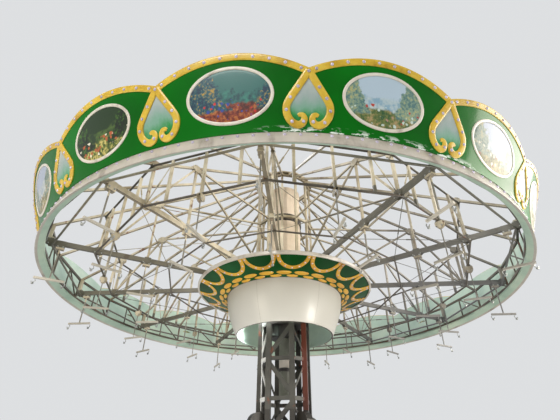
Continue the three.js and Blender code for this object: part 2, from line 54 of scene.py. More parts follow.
# %% [markdown]
# ## Camera and light
# A ride is seen from the ground, so the camera stands at eye height, 8.6 m from the mast,
# and looks up by 34 degrees through a wide lens. The light is a studio's: a soft dome that
# is darker behind the camera, so that the glossy crown keeps its deep colour, a large key
# light on the right whose glare lies on the right-hand panels, and weaker ones for the rest.

# %% Camera
SENSOR_MM = 36
LENS_MM = 400 / 560 * SENSOR_MM
CAMERA_PLACE = (0.55336, -8.55711, 1.6)
CAMERA_TURN = [math.radians(a) for a in (124.3207, -0.1916, 4.2577)]

bpy.ops.object.camera_add(location=CAMERA_PLACE, rotation=CAMERA_TURN)
scene.camera = bpy.context.object
scene.camera.data.lens = LENS_MM
scene.camera.data.sensor_width = SENSOR_MM
scene.view_settings.view_transform = "Standard"
print("lens", round(LENS_MM, 1), "mm")


# %% Colour: one function turns an sRGB hex code into the linear values that a shader uses
def colour(hex_code):
    values = [int(hex_code[i:i + 2], 16) / 255 for i in (0, 2, 4)]
    linear = [v / 12.92 if v <= 0.04045 else ((v + 0.055) / 1.055) ** 2.4 for v in values]
    return (*linear, 1.0)


# %% [markdown]
# ## Shader nodes
# One function adds a shader node with its settings and links, and gives back one of its
# outputs. In its inputs, a hex code stands for a colour.

# %% Names of the nodes that are used often, and the node function
NOISE = "ShaderNodeTexNoise"
VORONOI = "ShaderNodeTexVoronoi"
RAMP = "ShaderNodeValToRGB"
MIX = "ShaderNodeMix"
MATHS = "ShaderNodeMath"
VECTOR_MATHS = "ShaderNodeVectorMath"
MAPPING = "ShaderNodeMapping"
RANGE = "ShaderNodeMapRange"
BUMP = "ShaderNodeBump"
COORDINATES = "ShaderNodeTexCoord"
ATTRIBUTE = "ShaderNodeAttribute"
SEPARATE = "ShaderNodeSeparateXYZ"


def node(paint, kind, inputs=None, output=0, stops=None, **settings):
    made = paint.node_tree.nodes.new(kind)
    for name, value in settings.items():
        setattr(made, name, value)
    for key, value in (inputs or {}).items():
        if isinstance(value, bpy.types.NodeSocket):
            paint.node_tree.links.new(value, made.inputs[key])
        else:
            made.inputs[key].default_value = colour(value) if isinstance(value, str) else value
    if stops:
        ramp = made.color_ramp.elements
        while len(ramp) < len(stops):
            ramp.new(0.5)
        for element, (place, shade) in zip(ramp, stops):
            element.position = place
            element.color = colour(shade) if isinstance(shade, str) else (shade, shade, shade, 1)
    return made.outputs[output]


# %% The soft dome: weak on the camera's side, strong behind the ride
DOME_FRONT = 0.30
DOME_BACK = 0.85
world = bpy.data.worlds.new("studio")
world.use_nodes = True
scene.world = world
background = world.node_tree.nodes["Background"].inputs
background["Color"].default_value = colour("eef0f2")
way = node(world, COORDINATES, output="Generated")
depth = node(world, SEPARATE, {"Vector": way}, "Y")
dome = node(world, RANGE, {"Value": depth, "From Min": -0.9, "From Max": 0.3,
                           "To Min": DOME_FRONT, "To Max": DOME_BACK})
world.node_tree.links.new(dome, background["Strength"])
print("dome", DOME_FRONT, "to", DOME_BACK)


# %% Lamps: each has a place, a target, a size in metres, its watts, its tint and its spread
def area_lamp(name, place, target, size, watts, tint, spread=180):
    way = Vector(target) - Vector(place)
    turn = way.to_track_quat("-Z", "Y").to_euler()
    bpy.ops.object.light_add(type="AREA", location=place, rotation=turn)
    lamp = bpy.context.object
    lamp.name = name
    lamp.data.shape = "RECTANGLE"
    lamp.data.size, lamp.data.size_y = size
    lamp.data.energy = watts
    lamp.data.color = colour(tint)[:3]
    lamp.data.spread = math.radians(spread)
    lamp.visible_camera = False
    print(name, watts, "W")


area_lamp("key light", (13, -1.5, 8.6), (0, 0, 5.5), (9, 6), 1250, "fff8ec")
area_lamp("front light", (-3, -15, 11), (0, -3, 5.5), (6, 4), 1000, "fffdf8")
area_lamp("low left light", (-9, -10, 1.2), (-1, 0, 5.5), (5, 3), 100, "fff4e2", 70)
area_lamp("low right light", (9, -5, 0.9), (0, 0, 5.0), (3, 2), 115, "fffaf2", 70)
area_lamp("drum light", (0.3, -2.6, 0.3), (-1.0, 0.2, 4.6), (1, 1), 20, "f6faff", 50)
area_lamp("drum inner light", (-0.1, -0.85, 4.95), (-1.0, 0.4, 4.35), (0.3, 0.3), 46, "f6faff",
          80)
area_lamp("top light", (-3, 6, 16), (0, 0, 6), (8, 8), 900, "f4f8ff")

# %% [markdown]
# ## Floor
# A wide roll of pale studio paper lies under the ride and throws some light up into it. It is one
# large plane.

# %% Floor
FLOOR_SIZE = 60
bpy.ops.mesh.primitive_plane_add(size=FLOOR_SIZE)
floor = bpy.context.object
floor.name = "floor"
print("floor", FLOOR_SIZE, "m")


# %% A bare paint: its steady values sit on the shader's own sockets
def new_paint(name, roughness, coat=0.0, coat_roughness=0.08, ior=1.5):
    paint = bpy.data.materials.new(name)
    paint.use_nodes = True
    shader = paint.node_tree.nodes["Principled BSDF"]
    shader.inputs["Roughness"].default_value = roughness
    shader.inputs["Coat Weight"].default_value = coat
    shader.inputs["Coat Roughness"].default_value = coat_roughness
    shader.inputs["IOR"].default_value = ior
    print("paint", name)
    return paint, shader


def connect(paint, output, socket):
    paint.node_tree.links.new(output, socket)


# At a scale of 1 a noise has patches about 500 mm wide
def patch_scale(patch_mm):
    return 500 / patch_mm


# %% Studio paper on the floor: a pale roll, a little uneven
floor_paint, shader = new_paint("studio_paper", 0.9)
place = node(floor_paint, COORDINATES, output="Object")
cloud = node(floor_paint, NOISE, {"Vector": place, "Scale": patch_scale(3000)})
tone = node(floor_paint, RAMP, {"Fac": cloud}, stops=[(0.3, "c9cac8"), (0.7, "d3d4d2")])
connect(floor_paint, tone, shader.inputs["Base Color"])
floor.data.materials.append(floor_paint)

# %% [markdown]
# ## Sizes of the crown
# The rim of the ride is a circle, and sixteen equal panels stand on it and lean outwards.
# Heights on a panel are counted from RIM_Z, near the rim's lower edge, as on a flat drawing,
# before the panel is leaned.

# %% Sizes of the crown, as in the solids
RIM_R = 5.0
RIM_Z = 5.05
BAND_TOP = 0.1754
PANELS = 16
PANEL_WIDTH = 2 * math.pi * RIM_R / PANELS - 0.0004
CUSP = 0.991
APEX = 1.213
FLARE = math.radians(22.7)
FIRST_PANEL_DEG = 18.45
PANEL_STEP_DEG = 360 / PANELS
print("panel", round(PANEL_WIDTH, 3), "m wide")

# %% [markdown]
# ## Gelcoat on the fibreglass
# Fibreglass is laid up in a mould behind a coloured gelcoat, so it comes out glossy but slightly
# wavy: a long soft bump bends the reflections. The green has faded in patches, and a painted
# reflection lies in pale flecks along its lower edge, with more of them towards the right. The
# heart-shaped fields are sprayed on the green, from blue-grey at the top back to green at the
# bottom. Both patterns follow the panel's own flat drawing, which each panel keeps as an attribute
# called flat_place.


# %% Sprayed fields inside the hearts
# HEART_FIELD gives half of a field's width at each height up the panel.
HEART_FIELD = [(0.235, 0.0), (0.275, 0.164), (0.36, 0.277), (0.48, 0.287), (0.59, 0.236),
               (0.71, 0.154), (0.85, 0.062), (0.94, 0.0)]
HEART_SPRAY = [(0.26, "0a6a22"), (0.38, "3a8c4e"), (0.48, "76a08c"), (0.62, "98a7a5"),
               (0.88, "bcc0bb")]


def heart_field(paint, place, under):
    x = node(paint, SEPARATE, {"Vector": place}, "X")
    z = node(paint, SEPARATE, {"Vector": place}, "Z")
    off_middle = node(paint, MATHS, {0: x}, operation="ABSOLUTE")
    from_joint = node(paint, MATHS, {0: PANEL_WIDTH / 2, 1: off_middle}, operation="SUBTRACT")
    half_width = node(paint, RAMP, {"Fac": z}, stops=HEART_FIELD)
    inside = node(paint, MATHS, {0: half_width, 1: from_joint}, operation="GREATER_THAN")
    where = node(paint, COORDINATES, output="Object")
    spread = node(paint, MAPPING, {"Vector": where, "Scale": (1, 1, 0.35)})
    cloud = node(paint, NOISE, {"Vector": spread, "Scale": patch_scale(160), "Detail": 8,
                                "Roughness": 0.62})
    drift = node(paint, MATHS, {0: cloud, 1: 0.46, 2: -0.23}, operation="MULTIPLY_ADD")
    height = node(paint, MATHS, {0: z, 1: drift})
    spray = node(paint, RAMP, {"Fac": height}, stops=HEART_SPRAY)
    return node(paint, MIX, {0: inside, 6: under, 7: spray}, 2, data_type="RGBA")


# %% Green polyester gelcoat, moulded against a polished form: deep colour under a thin gloss
# The heights on the panel between which the painted reflection along its lower edge fades out
GLINT_FULL, GLINT_TOP = 0.185, 0.26
green_gelcoat, shader = new_paint("green_gelcoat", 0.42, coat=0.4, coat_roughness=0.11)
shader.inputs["Specular IOR Level"].default_value = 0.05
object_place = node(green_gelcoat, COORDINATES, output="Object")
flat_place = node(green_gelcoat, ATTRIBUTE, output="Vector", attribute_name="flat_place")
height = node(green_gelcoat, SEPARATE, {"Vector": flat_place}, "Z")
fade = node(green_gelcoat, NOISE, {"Vector": object_place, "Scale": patch_scale(700), "Detail": 3})
tone = node(green_gelcoat, RAMP, {"Fac": fade},
            stops=[(0.3, "005507"), (0.55, "00660b"), (0.8, "007316")])
# Painted reflection: pale flecks along the panel's lower edge, with more of them towards +X
low = node(green_gelcoat, RANGE, {"Value": height, "From Min": GLINT_FULL, "From Max": GLINT_TOP,
                                  "To Min": 1.0, "To Max": 0.0})
grain = node(green_gelcoat, MAPPING, {"Vector": object_place, "Scale": (1, 1, 3)})
glints = node(green_gelcoat, NOISE, {"Vector": grain, "Scale": patch_scale(90), "Detail": 7,
                                     "Roughness": 0.65})
glints = node(green_gelcoat, RAMP, {"Fac": glints}, stops=[(0.52, 0.0), (0.56, 1.0)])
side = node(green_gelcoat, SEPARATE, {"Vector": object_place}, "X")
where = node(green_gelcoat, NOISE, {"Vector": object_place, "Scale": patch_scale(1900)})
where = node(green_gelcoat, MATHS, {0: side, 1: 0.075, 2: where}, operation="MULTIPLY_ADD")
where = node(green_gelcoat, RAMP, {"Fac": where}, stops=[(0.58, 0.0), (0.64, 1.0)])
glint_mask = node(green_gelcoat, MATHS, {0: low, 1: glints}, operation="MULTIPLY")
glint_mask = node(green_gelcoat, MATHS, {0: glint_mask, 1: where}, operation="MULTIPLY")
tone = node(green_gelcoat, MIX, {0: glint_mask, 6: tone, 7: "e3ece4"}, 2, data_type="RGBA")
connect(green_gelcoat, heart_field(green_gelcoat, flat_place, tone), shader.inputs["Base Color"])
waves = node(green_gelcoat, NOISE, {"Vector": object_place, "Scale": patch_scale(280), "Detail": 2})
waves = node(green_gelcoat, BUMP, {"Height": waves, "Distance": 0.014})
connect(green_gelcoat, waves, shader.inputs["Normal"])

# %% Green gelcoat of the cone: the same resin, darker, with no sprayed fields
cone_gelcoat, shader = new_paint("cone_green_gelcoat", 0.42, coat=0.25, coat_roughness=0.1)
shader.inputs["Specular IOR Level"].default_value = 0.1
place = node(cone_gelcoat, COORDINATES, output="Object")
cloud = node(cone_gelcoat, NOISE, {"Vector": place, "Scale": patch_scale(350), "Detail": 5})
tone = node(cone_gelcoat, RAMP, {"Fac": cloud},
            stops=[(0.3, "002f0a"), (0.55, "003e0f"), (0.75, "03481e")])
connect(cone_gelcoat, tone, shader.inputs["Base Color"])
connect(cone_gelcoat, node(cone_gelcoat, BUMP, {"Height": cloud, "Distance": 0.006}),
        shader.inputs["Normal"])


# %% Yellow gelcoat of the mouldings: brushed by hand, so it is uneven and brownish where thick
def brushed_gold(name, thick, usual, thin):
    paint, shader = new_paint(name, 0.4, coat=0.25, coat_roughness=0.14)
    place = node(paint, COORDINATES, output="Object")
    strokes = node(paint, NOISE, {"Vector": place, "Scale": patch_scale(130), "Detail": 5,
                                  "Roughness": 0.6})
    tone = node(paint, RAMP, {"Fac": strokes}, stops=[(0.3, thick), (0.45, usual), (0.7, thin)])
    connect(paint, tone, shader.inputs["Base Color"])
    dents = node(paint, NOISE, {"Vector": place, "Scale": patch_scale(60), "Detail": 3})
    connect(paint, node(paint, BUMP, {"Height": dents, "Distance": 0.0025}),
            shader.inputs["Normal"])
    return paint


gold_gelcoat = brushed_gold("gold_gelcoat", "a8821a", "c8a42a", "d8ba42")
cone_gold = brushed_gold("cone_gold_gelcoat", "946412", "be8c1c", "cc9e2a")


# %% Cream gelcoat of the band and frames: hand-laid, with faint runs of grey dirt
def hand_laid_cream(name, dirty, usual, clean):
    paint, shader = new_paint(name, 0.38, coat=0.4, coat_roughness=0.12)
    place = node(paint, COORDINATES, output="Object")
    spread = node(paint, MAPPING, {"Vector": place, "Scale": (1, 1, 0.4)})
    runs = node(paint, NOISE, {"Vector": spread, "Scale": patch_scale(120), "Detail": 6,
                               "Roughness": 0.6})
    tone = node(paint, RAMP, {"Fac": runs}, stops=[(0.3, dirty), (0.44, usual), (0.75, clean)])
    connect(paint, tone, shader.inputs["Base Color"])
    waves = node(paint, NOISE, {"Vector": place, "Scale": patch_scale(500), "Detail": 1})
    connect(paint, node(paint, BUMP, {"Height": waves, "Distance": 0.006}),
            shader.inputs["Normal"])
    return paint


cream_gelcoat = hand_laid_cream("cream_gelcoat", "8c8277", "b4aca0", "c4bdb2")
frame_gelcoat = hand_laid_cream("frame_cream_gelcoat", "aca396", "cfc8bb", "dcd7cb")

# %% White gelcoat of the drum: smooth and clean, moulded in six leaves with hairline seams
# The seams stand where the turn round the axis, cut into six, passes a half.
DRUM_LEAVES = 6
FIRST_SEAM = 0.37
SEAM_SHARE = 0.0022
drum_gelcoat, shader = new_paint("drum_white_gelcoat", 0.42, coat=0.14, coat_roughness=0.16)
place = node(drum_gelcoat, COORDINATES, output="Object")
cloud = node(drum_gelcoat, NOISE, {"Vector": place, "Scale": patch_scale(900), "Detail": 2})
tone = node(drum_gelcoat, RAMP, {"Fac": cloud}, stops=[(0.3, "aeaaa0"), (0.7, "b8b4ab")])
turn = node(drum_gelcoat, "ShaderNodeTexGradient", {"Vector": place}, "Fac", gradient_type="RADIAL")
leaf = node(drum_gelcoat, MATHS, {0: turn, 1: DRUM_LEAVES, 2: FIRST_SEAM}, operation="MULTIPLY_ADD")
leaf = node(drum_gelcoat, MATHS, {0: leaf}, operation="FRACT")
leaf = node(drum_gelcoat, MATHS, {0: leaf, 1: 0.5, 2: SEAM_SHARE}, operation="COMPARE")
tone = node(drum_gelcoat, MIX, {0: leaf, 6: tone, 7: "8c877b"}, 2, data_type="RGBA")
connect(drum_gelcoat, tone, shader.inputs["Base Color"])
connect(drum_gelcoat, node(drum_gelcoat, BUMP, {"Height": cloud, "Distance": 0.02}),
        shader.inputs["Normal"])

# %% Mint topcoat brushed on the rough inside of the laminate: matt, with the fibres showing
mint_topcoat, shader = new_paint("mint_topcoat", 0.7)
place = node(mint_topcoat, COORDINATES, output="Object")
cloud = node(mint_topcoat, NOISE, {"Vector": place, "Scale": patch_scale(500), "Detail": 5,
                                   "Roughness": 0.6})
tone = node(mint_topcoat, RAMP, {"Fac": cloud},
            stops=[(0.3, "98b0a0"), (0.5, "b0c6b5"), (0.75, "c9d8c3")])
connect(mint_topcoat, tone, shader.inputs["Base Color"])
fibres = node(mint_topcoat, NOISE, {"Vector": place, "Scale": patch_scale(24), "Detail": 3})
connect(mint_topcoat, node(mint_topcoat, BUMP, {"Height": fibres, "Distance": 0.003}),
        shader.inputs["Normal"])

# %% Milky polycarbonate caps of the lamps: moulded, smooth and a little lilac
lamp_cap, shader = new_paint("lamp_cap_polycarbonate", 0.25, coat=0.3, ior=1.58)
place = node(lamp_cap, COORDINATES, output="Object")
cloud = node(lamp_cap, NOISE, {"Vector": place, "Scale": patch_scale(220)})
tone = node(lamp_cap, RAMP, {"Fac": cloud}, stops=[(0.35, "a49baf"), (0.6, "cdc4dc")])
connect(lamp_cap, tone, shader.inputs["Base Color"])

# %% [markdown]
# ## Enamel on the steel
# The arms and posts are brushed with cream enamel, the ring tubes and mast with a dark one. The
# undersides carry a painted shade, which grows darker as the normal turns down, and rust shows at
# edges and joints. The rust is a fine noise of which only the peaks show.


# %% One pattern serves the steel enamels
def steel_enamel(name, light, dark, rust, rust_share=0.62, underside_shade="4a4438", underside_shade_share=0.5):
    paint, shader = new_paint(name, 0.46, coat=0.12, coat_roughness=0.2)
    place = node(paint, COORDINATES, output="Object")
    cloud = node(paint, NOISE, {"Vector": place, "Scale": patch_scale(300), "Detail": 6,
                                "Roughness": 0.6})
    tone = node(paint, RAMP, {"Fac": cloud}, stops=[(0.35, dark), (0.6, light)])
    # Painted shade: faces that look down are mixed towards the darker underside tone
    facing = node(paint, "ShaderNodeNewGeometry", output="Normal")
    up = node(paint, SEPARATE, {"Vector": facing}, "Z")
    below = node(paint, MATHS, {0: up, 1: -underside_shade_share}, operation="MULTIPLY", use_clamp=True)
    tone = node(paint, MIX, {0: below, 6: tone, 7: underside_shade}, 2, data_type="RGBA")
    spots = node(paint, NOISE, {"Vector": place, "Scale": patch_scale(90), "Detail": 8,
                                "Roughness": 0.6})
    rusty = node(paint, RAMP, {"Fac": spots}, stops=[(rust_share, 0.0), (rust_share + 0.05, 0.85)])
    tone = node(paint, MIX, {0: rusty, 6: tone, 7: rust}, 2, data_type="RGBA")
    connect(paint, node(paint, BUMP, {"Height": spots, "Distance": 0.0015}),
            shader.inputs["Normal"])
    return paint, shader, tone


# %% [markdown]
# A second colour can follow a test on the object's place: between two heights, across the ride from
# one side to the other, or near an upright member. Each test gives 0 to 1. Most of the arms' chords
# are darker, all but those on one side.


# %% Tests on a point's place
def height_between(paint, low, high):
    place = node(paint, COORDINATES, output="Object")
    z = node(paint, SEPARATE, {"Vector": place}, "Z")
    return node(paint, MATHS, {0: z, 1: (low + high) / 2, 2: (high - low) / 2}, operation="COMPARE")


def across(paint, axis, start, end):
    place = node(paint, COORDINATES, output="Object")
    along = node(paint, SEPARATE, {"Vector": place}, axis)
    return node(paint, RANGE, {"Value": along, "From Min": start, "From Max": end})


def near_upright(paint, x, y, reach):
    place = node(paint, COORDINATES, output="Object")
    level = node(paint, MAPPING, {"Vector": place, "Scale": (1, 1, 0)})
    away = node(paint, VECTOR_MATHS, {0: level, 1: (x, y, 0)}, "Value", operation="DISTANCE")
    return node(paint, MATHS, {0: away, 1: reach}, operation="LESS_THAN")


# %% Cream enamel on the arms; the spreader bars are whiter and the rods bare
SPREADERS = (4.40, 4.60)
RODS = (4.60, 5.07)
arm_enamel, shader, tone = steel_enamel("arm_cream_enamel", "dccfb5", "94866a", "7a4a2a",
                                        underside_shade="544c3e", underside_shade_share=0.7)
on_rods = height_between(arm_enamel, *RODS)
tone = node(arm_enamel, MIX, {0: on_rods, 6: tone, 7: "8a857a"}, 2, data_type="RGBA")
on_spreaders = height_between(arm_enamel, *SPREADERS)
tone = node(arm_enamel, MIX, {0: on_spreaders, 6: tone, 7: "bcb5a7"}, 2, data_type="RGBA")

# %% Darker chords, all but those on the side towards 250 degrees
CHORDS = (5.20, 5.36)
LIGHT_CHORD_SIDE = (math.cos(math.radians(250)), math.sin(math.radians(250)), 0)
place = node(arm_enamel, COORDINATES, output="Object")
level = node(arm_enamel, MAPPING, {"Vector": place, "Scale": (1, 1, 0)})
level = node(arm_enamel, VECTOR_MATHS, {0: level}, operation="NORMALIZE")
towards = node(arm_enamel, VECTOR_MATHS, {0: level, 1: LIGHT_CHORD_SIDE}, "Value",
               operation="DOT_PRODUCT")
dark_chords = node(arm_enamel, RANGE, {"Value": towards, "From Min": 0.92, "From Max": 0.8,
                                  "To Max": 0.85})
on_chord = height_between(arm_enamel, *CHORDS)
dark_chords = node(arm_enamel, MATHS, {0: dark_chords, 1: on_chord}, operation="MULTIPLY")
tone = node(arm_enamel, MIX, {0: dark_chords, 6: tone, 7: "4b4a40"}, 2, data_type="RGBA")

# %% Painted shade: the arms grow grey towards the far right
to_right = across(arm_enamel, "X", 0.2, 3.0)
to_back = across(arm_enamel, "Y", -3.5, 0.0)
right_shade = node(arm_enamel, MATHS, {0: to_right, 1: 0.7}, operation="MULTIPLY")
right_shade = node(arm_enamel, MATHS, {0: right_shade, 1: to_back}, operation="MULTIPLY")
tone = node(arm_enamel, MIX, {0: right_shade, 6: tone, 7: "5d5e63"}, 2, data_type="RGBA")
connect(arm_enamel, tone, shader.inputs["Base Color"])

# %% [markdown]
# ## Other finishes on steel and iron
# An old coat shows on the mast, where one leg has only its red primer, and the stays at one corner
# are white. The bearing, the gear and the knuckle plates are black with grease, and small fittings
# are dipped in molten zinc. The enamels are the same pattern in other colours, and the zinc's
# crystals are the cells of a Voronoi pattern.

# %% Dark enamel on the rings and the rim truss, worn to rust at the welds
dark_enamel, shader, tone = steel_enamel("tube_dark_enamel", "665d50", "443c32", "6a3d22", 0.6,
                                         "241f19")
connect(dark_enamel, tone, shader.inputs["Base Color"])

# %% Column enamel: a beige coat with a dark greased collar
COLLAR = (6.89, 7.07)
column_enamel, shader, tone = steel_enamel("column_beige_enamel", "ecdac4", "d6c3ab", "7a4a2a",
                                           0.66)
on_collar = height_between(column_enamel, *COLLAR)
tone = node(column_enamel, MIX, {0: on_collar, 6: tone, 7: "35302a"}, 2, data_type="RGBA")
connect(column_enamel, tone, shader.inputs["Base Color"])

# %% Mast enamel: grey-brown, with one leg left in its red primer and one corner's stays white
MAST_DEG = -6.5
KNUCKLES = (2.24, 2.72)


def on_mast(x, y):
    turn = math.radians(MAST_DEG)
    return (x * math.cos(turn) - y * math.sin(turn), x * math.sin(turn) + y * math.cos(turn))


mast_enamel, shader, tone = steel_enamel("mast_grey_enamel", "403e37", "282520", "5f351e", 0.62,
                                         "161411")
red_leg = near_upright(mast_enamel, *on_mast(0.45, -0.232), 0.085)
tone = node(mast_enamel, MIX, {0: red_leg, 6: tone, 7: "54220f"}, 2, data_type="RGBA")
white_stays = near_upright(mast_enamel, *on_mast(-0.342, -0.342), 0.095)
tone = node(mast_enamel, MIX, {0: white_stays, 6: tone, 7: "d5d4cf"}, 2, data_type="RGBA")
on_knuckles = height_between(mast_enamel, *KNUCKLES)
tone = node(mast_enamel, MIX, {0: on_knuckles, 6: tone, 7: "26221c"}, 2, data_type="RGBA")
connect(mast_enamel, tone, shader.inputs["Base Color"])

# %% Greased cast iron of the turning gear, and the cable tube with its bare upper length
BARE_LENGTH = (3.53, 3.75)
TUBE_CLAMP = (3.46, 3.53)
gear_iron, shader, tone = steel_enamel("greased_cast_iron", "2a2724", "171513", "3a2418", 0.64,
                                       "0e0d0c")
connect(gear_iron, tone, shader.inputs["Base Color"])
tube_enamel, shader, tone = steel_enamel("cable_tube_enamel", "757668", "57584c", "6a3d22", 0.62)
bare = height_between(tube_enamel, *BARE_LENGTH)
tone = node(tube_enamel, MIX, {0: bare, 6: tone, 7: "c2b8ac"}, 2, data_type="RGBA")
clamped = height_between(tube_enamel, *TUBE_CLAMP)
tone = node(tube_enamel, MIX, {0: clamped, 6: tone, 7: "2c2926"}, 2, data_type="RGBA")
connect(tube_enamel, tone, shader.inputs["Base Color"])

# %% Zinc on the bolts, rods and hooks: hot-dipped, so it is dull and mottled
zinc, shader = new_paint("hot_dipped_zinc", 0.42)
shader.inputs["Metallic"].default_value = 0.8
place = node(zinc, COORDINATES, output="Object")
spangle = node(zinc, VORONOI, {"Vector": place, "Scale": patch_scale(16)}, "Distance")
tone = node(zinc, RAMP, {"Fac": spangle}, stops=[(0.2, "8f9190"), (0.8, "b9bab6")])
connect(zinc, tone, shader.inputs["Base Color"])

# %% [markdown]
# ## Helpers for modelling
# A piece starts as a primitive, is shaped in edit mode, and ends at the origin with its
# place in its mesh. The crown's ornaments are modelled flat, facing -Y, as if the crown
# were unrolled; then they are leaned out by its flare and bent round its rim.


# %% Picking, placing and joining
def pick(*objects):
    bpy.ops.object.select_all(action="DESELECT")
    for obj in objects:
        obj.select_set(True)
    bpy.context.view_layer.objects.active = objects[0]


def settle(obj, **channels):
    pick(obj)
    for channel, value in channels.items():
        setattr(obj, channel, value)
    bpy.ops.object.transform_apply()


def named(name, *paints):
    obj = bpy.context.object
    obj.name = name
    obj.data.name = name
    bpy.ops.object.transform_apply()
    for paint in paints:
        obj.data.materials.append(paint)
    return obj


def select_where(kind, test):
    bpy.ops.mesh.select_mode(type=kind)
    bpy.ops.mesh.select_all(action="DESELECT")
    mesh = bmesh.from_edit_mesh(bpy.context.object.data)
    for item in {"VERT": mesh.verts, "EDGE": mesh.edges, "FACE": mesh.faces}[kind]:
        if test(item):
            item.select_set(True)
    bmesh.update_edit_mesh(bpy.context.object.data)


def shaped(obj, *modifiers):
    pick(obj)
    for kind, settings in modifiers:
        made = obj.modifiers.new(kind, kind)
        for name, value in settings.items():
            setattr(made, name, value)
        bpy.ops.object.modifier_apply(modifier=made.name)
    return obj


def smooth(obj, degrees=35):
    pick(obj)
    bpy.ops.object.shade_smooth_by_angle(angle=math.radians(degrees))


def joined(name, *objects):
    pick(*objects)
    bpy.ops.object.join()
    obj = bpy.context.object
    obj.name = name
    obj.data.name = name
    return obj


def repeated(obj, name, turns):
    copies = []
    for i, turn in enumerate(turns):
        copy = obj.copy()
        copy.data = obj.data.copy()
        copy.name = f"{name}_{i + 1:02d}"
        scene.collection.objects.link(copy)
        copy.rotation_euler.z = math.radians(turn)
        copies.append(copy)
    bpy.data.objects.remove(obj)
    pick(*copies)
    bpy.ops.object.transform_apply()
    return copies


def on_body(body, slot, *objects):
    for obj in objects:
        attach(obj, body)


# %% Leaning and bending a flat piece on to the crown
def leaned(obj):
    settle(obj, location=(0, 0, -BAND_TOP))
    settle(obj, scale=(1, 1, 1 / math.cos(FLARE)))
    settle(obj, rotation_euler=(FLARE, 0, 0))
    settle(obj, location=(0, 0, BAND_TOP))
    return obj


def wrapped(obj):
    xs = [v.co.x for v in obj.data.vertices]
    shaped(obj, ("SIMPLE_DEFORM", {"deform_method": "BEND", "deform_axis": "Z",
                                   "angle": (max(xs) - min(xs)) / RIM_R}))
    settle(obj, location=(0, -RIM_R, RIM_Z))
    return obj


# %% A moulding: a rounded strip along a path, as a router or a mould leaves it
# The section is given for half a width of 1 and a depth of 1, with its foot below the surface.
STRIP_SECTION = [(-1, -0.4), (-1, 0.55), (-0.82, 0.92), (-0.4, 1), (0.4, 1), (0.82, 0.92),
                 (1, 0.55), (1, -0.4)]


def moulding(name, path, width, depth, paint, closed=False, swell=None):
    bpy.ops.object.select_all(action="DESELECT")
    bpy.ops.curve.primitive_nurbs_path_add()
    profile = bpy.context.object
    bpy.ops.curve.primitive_nurbs_path_add()
    strip = bpy.context.object
    section = [(x * width / 2, y * depth) for x, y in STRIP_SECTION]
    for obj, points, loop in ((profile, section, True), (strip, path, closed)):
        obj.data.dimensions = "2D"
        obj.data.splines.clear()
        spline = obj.data.splines.new("POLY")
        spline.points.add(len(points) - 1)
        for point, (x, y) in zip(spline.points, points):
            point.co = (x, y, 0, 1)
        spline.use_cyclic_u = loop
    for point, size in zip(strip.data.splines[0].points, swell or ()):
        point.radius = size
    strip.data.bevel_mode = "OBJECT"
    strip.data.bevel_object = profile
    strip.data.use_fill_caps = True
    pick(strip)
    bpy.ops.object.convert(target="MESH")
    bpy.ops.object.mode_set(mode="EDIT")
    bpy.ops.mesh.select_all(action="SELECT")
    bpy.ops.mesh.remove_doubles(threshold=0.0002)
    bpy.ops.mesh.normals_make_consistent(inside=False)
    bpy.ops.object.mode_set(mode="OBJECT")
    bpy.data.objects.remove(profile)
    return named(name, paint)


# A smooth path through a few points, as a bent batten would run
def batten(points, steps):
    ends = [points[0], *points, points[-1]]
    path = []
    for before, start, end, after in zip(ends, ends[1:], ends[2:], ends[3:]):
        for i in range(steps):
            t = i / steps
            path.append([0.5 * (2 * b + (c - a) * t + (2 * a - 5 * b + 4 * c - d) * t * t
                                + (3 * b - a - 3 * c + d) * t ** 3)
                         for a, b, c, d in zip(before, start, end, after)])
    return path + [list(points[-1])]


# %% A piece turned on the mast's axis from a closed profile of radius and height
def turned(name, profile, paint, steps=96):
    bpy.ops.object.select_all(action="DESELECT")
    bpy.ops.mesh.primitive_circle_add(vertices=len(profile), fill_type="NOTHING")
    obj = named(name, paint)
    for vertex, (radius, z) in zip(obj.data.vertices, profile):
        vertex.co = (radius, 0, z)
    bpy.ops.object.mode_set(mode="EDIT")
    bpy.ops.mesh.select_all(action="SELECT")
    bpy.ops.mesh.spin(steps=steps, angle=2 * math.pi, center=(0, 0, 0), axis=(0, 0, 1))
    bpy.ops.mesh.select_all(action="SELECT")
    bpy.ops.mesh.remove_doubles(threshold=0.0001)
    bpy.ops.mesh.normals_make_consistent(inside=False)
    bpy.ops.object.mode_set(mode="OBJECT")
    smooth(obj)
    return obj


# %% [markdown]
# ## Crown panels
# Each panel is one moulding with an arched top. A grid becomes that shape when every column
# of its vertices is stretched to the arch's height; its foot curves out to meet the band.

# %% One panel skin
COLUMNS = 36
ROWS = 12
SKIN_MM = 18
TOP_CLEARANCE = 0.02
FOOT_STEP = 0.008


def arch(x):
    share = min(1.0, abs(x) / (PANEL_WIDTH / 2))
    return CUSP + (APEX - CUSP) * (1 - share * share)


def panel_skin():
    height = CUSP - TOP_CLEARANCE - BAND_TOP
    bpy.ops.object.select_all(action="DESELECT")
    bpy.ops.mesh.primitive_grid_add(x_subdivisions=COLUMNS, y_subdivisions=ROWS, size=1)
    skin = named("panel_skin", green_gelcoat, mint_topcoat)
    settle(skin, scale=(PANEL_WIDTH, height, 1))
    settle(skin, rotation_euler=(math.pi / 2, 0, 0), location=(0, 0, BAND_TOP + height / 2))
    bpy.ops.object.mode_set(mode="EDIT")
    for i in range(COLUMNS + 1):
        x = PANEL_WIDTH * (i / COLUMNS - 0.5)
        select_where("VERT", lambda v: abs(v.co.x - x) < 1e-4)
        stretch = (arch(x) - TOP_CLEARANCE - BAND_TOP) / height
        bpy.ops.transform.resize(value=(1, 1, stretch), center_override=(0, 0, BAND_TOP))
    select_where("VERT", lambda v: v.co.z < BAND_TOP + 1e-4)
    bpy.ops.transform.translate(value=(0, -FOOT_STEP, 0))
    bpy.ops.object.mode_set(mode="OBJECT")
    return shaped(skin, ("SOLIDIFY", {"thickness": SKIN_MM / 1000, "offset": -1,
                                      "material_offset": 1}))


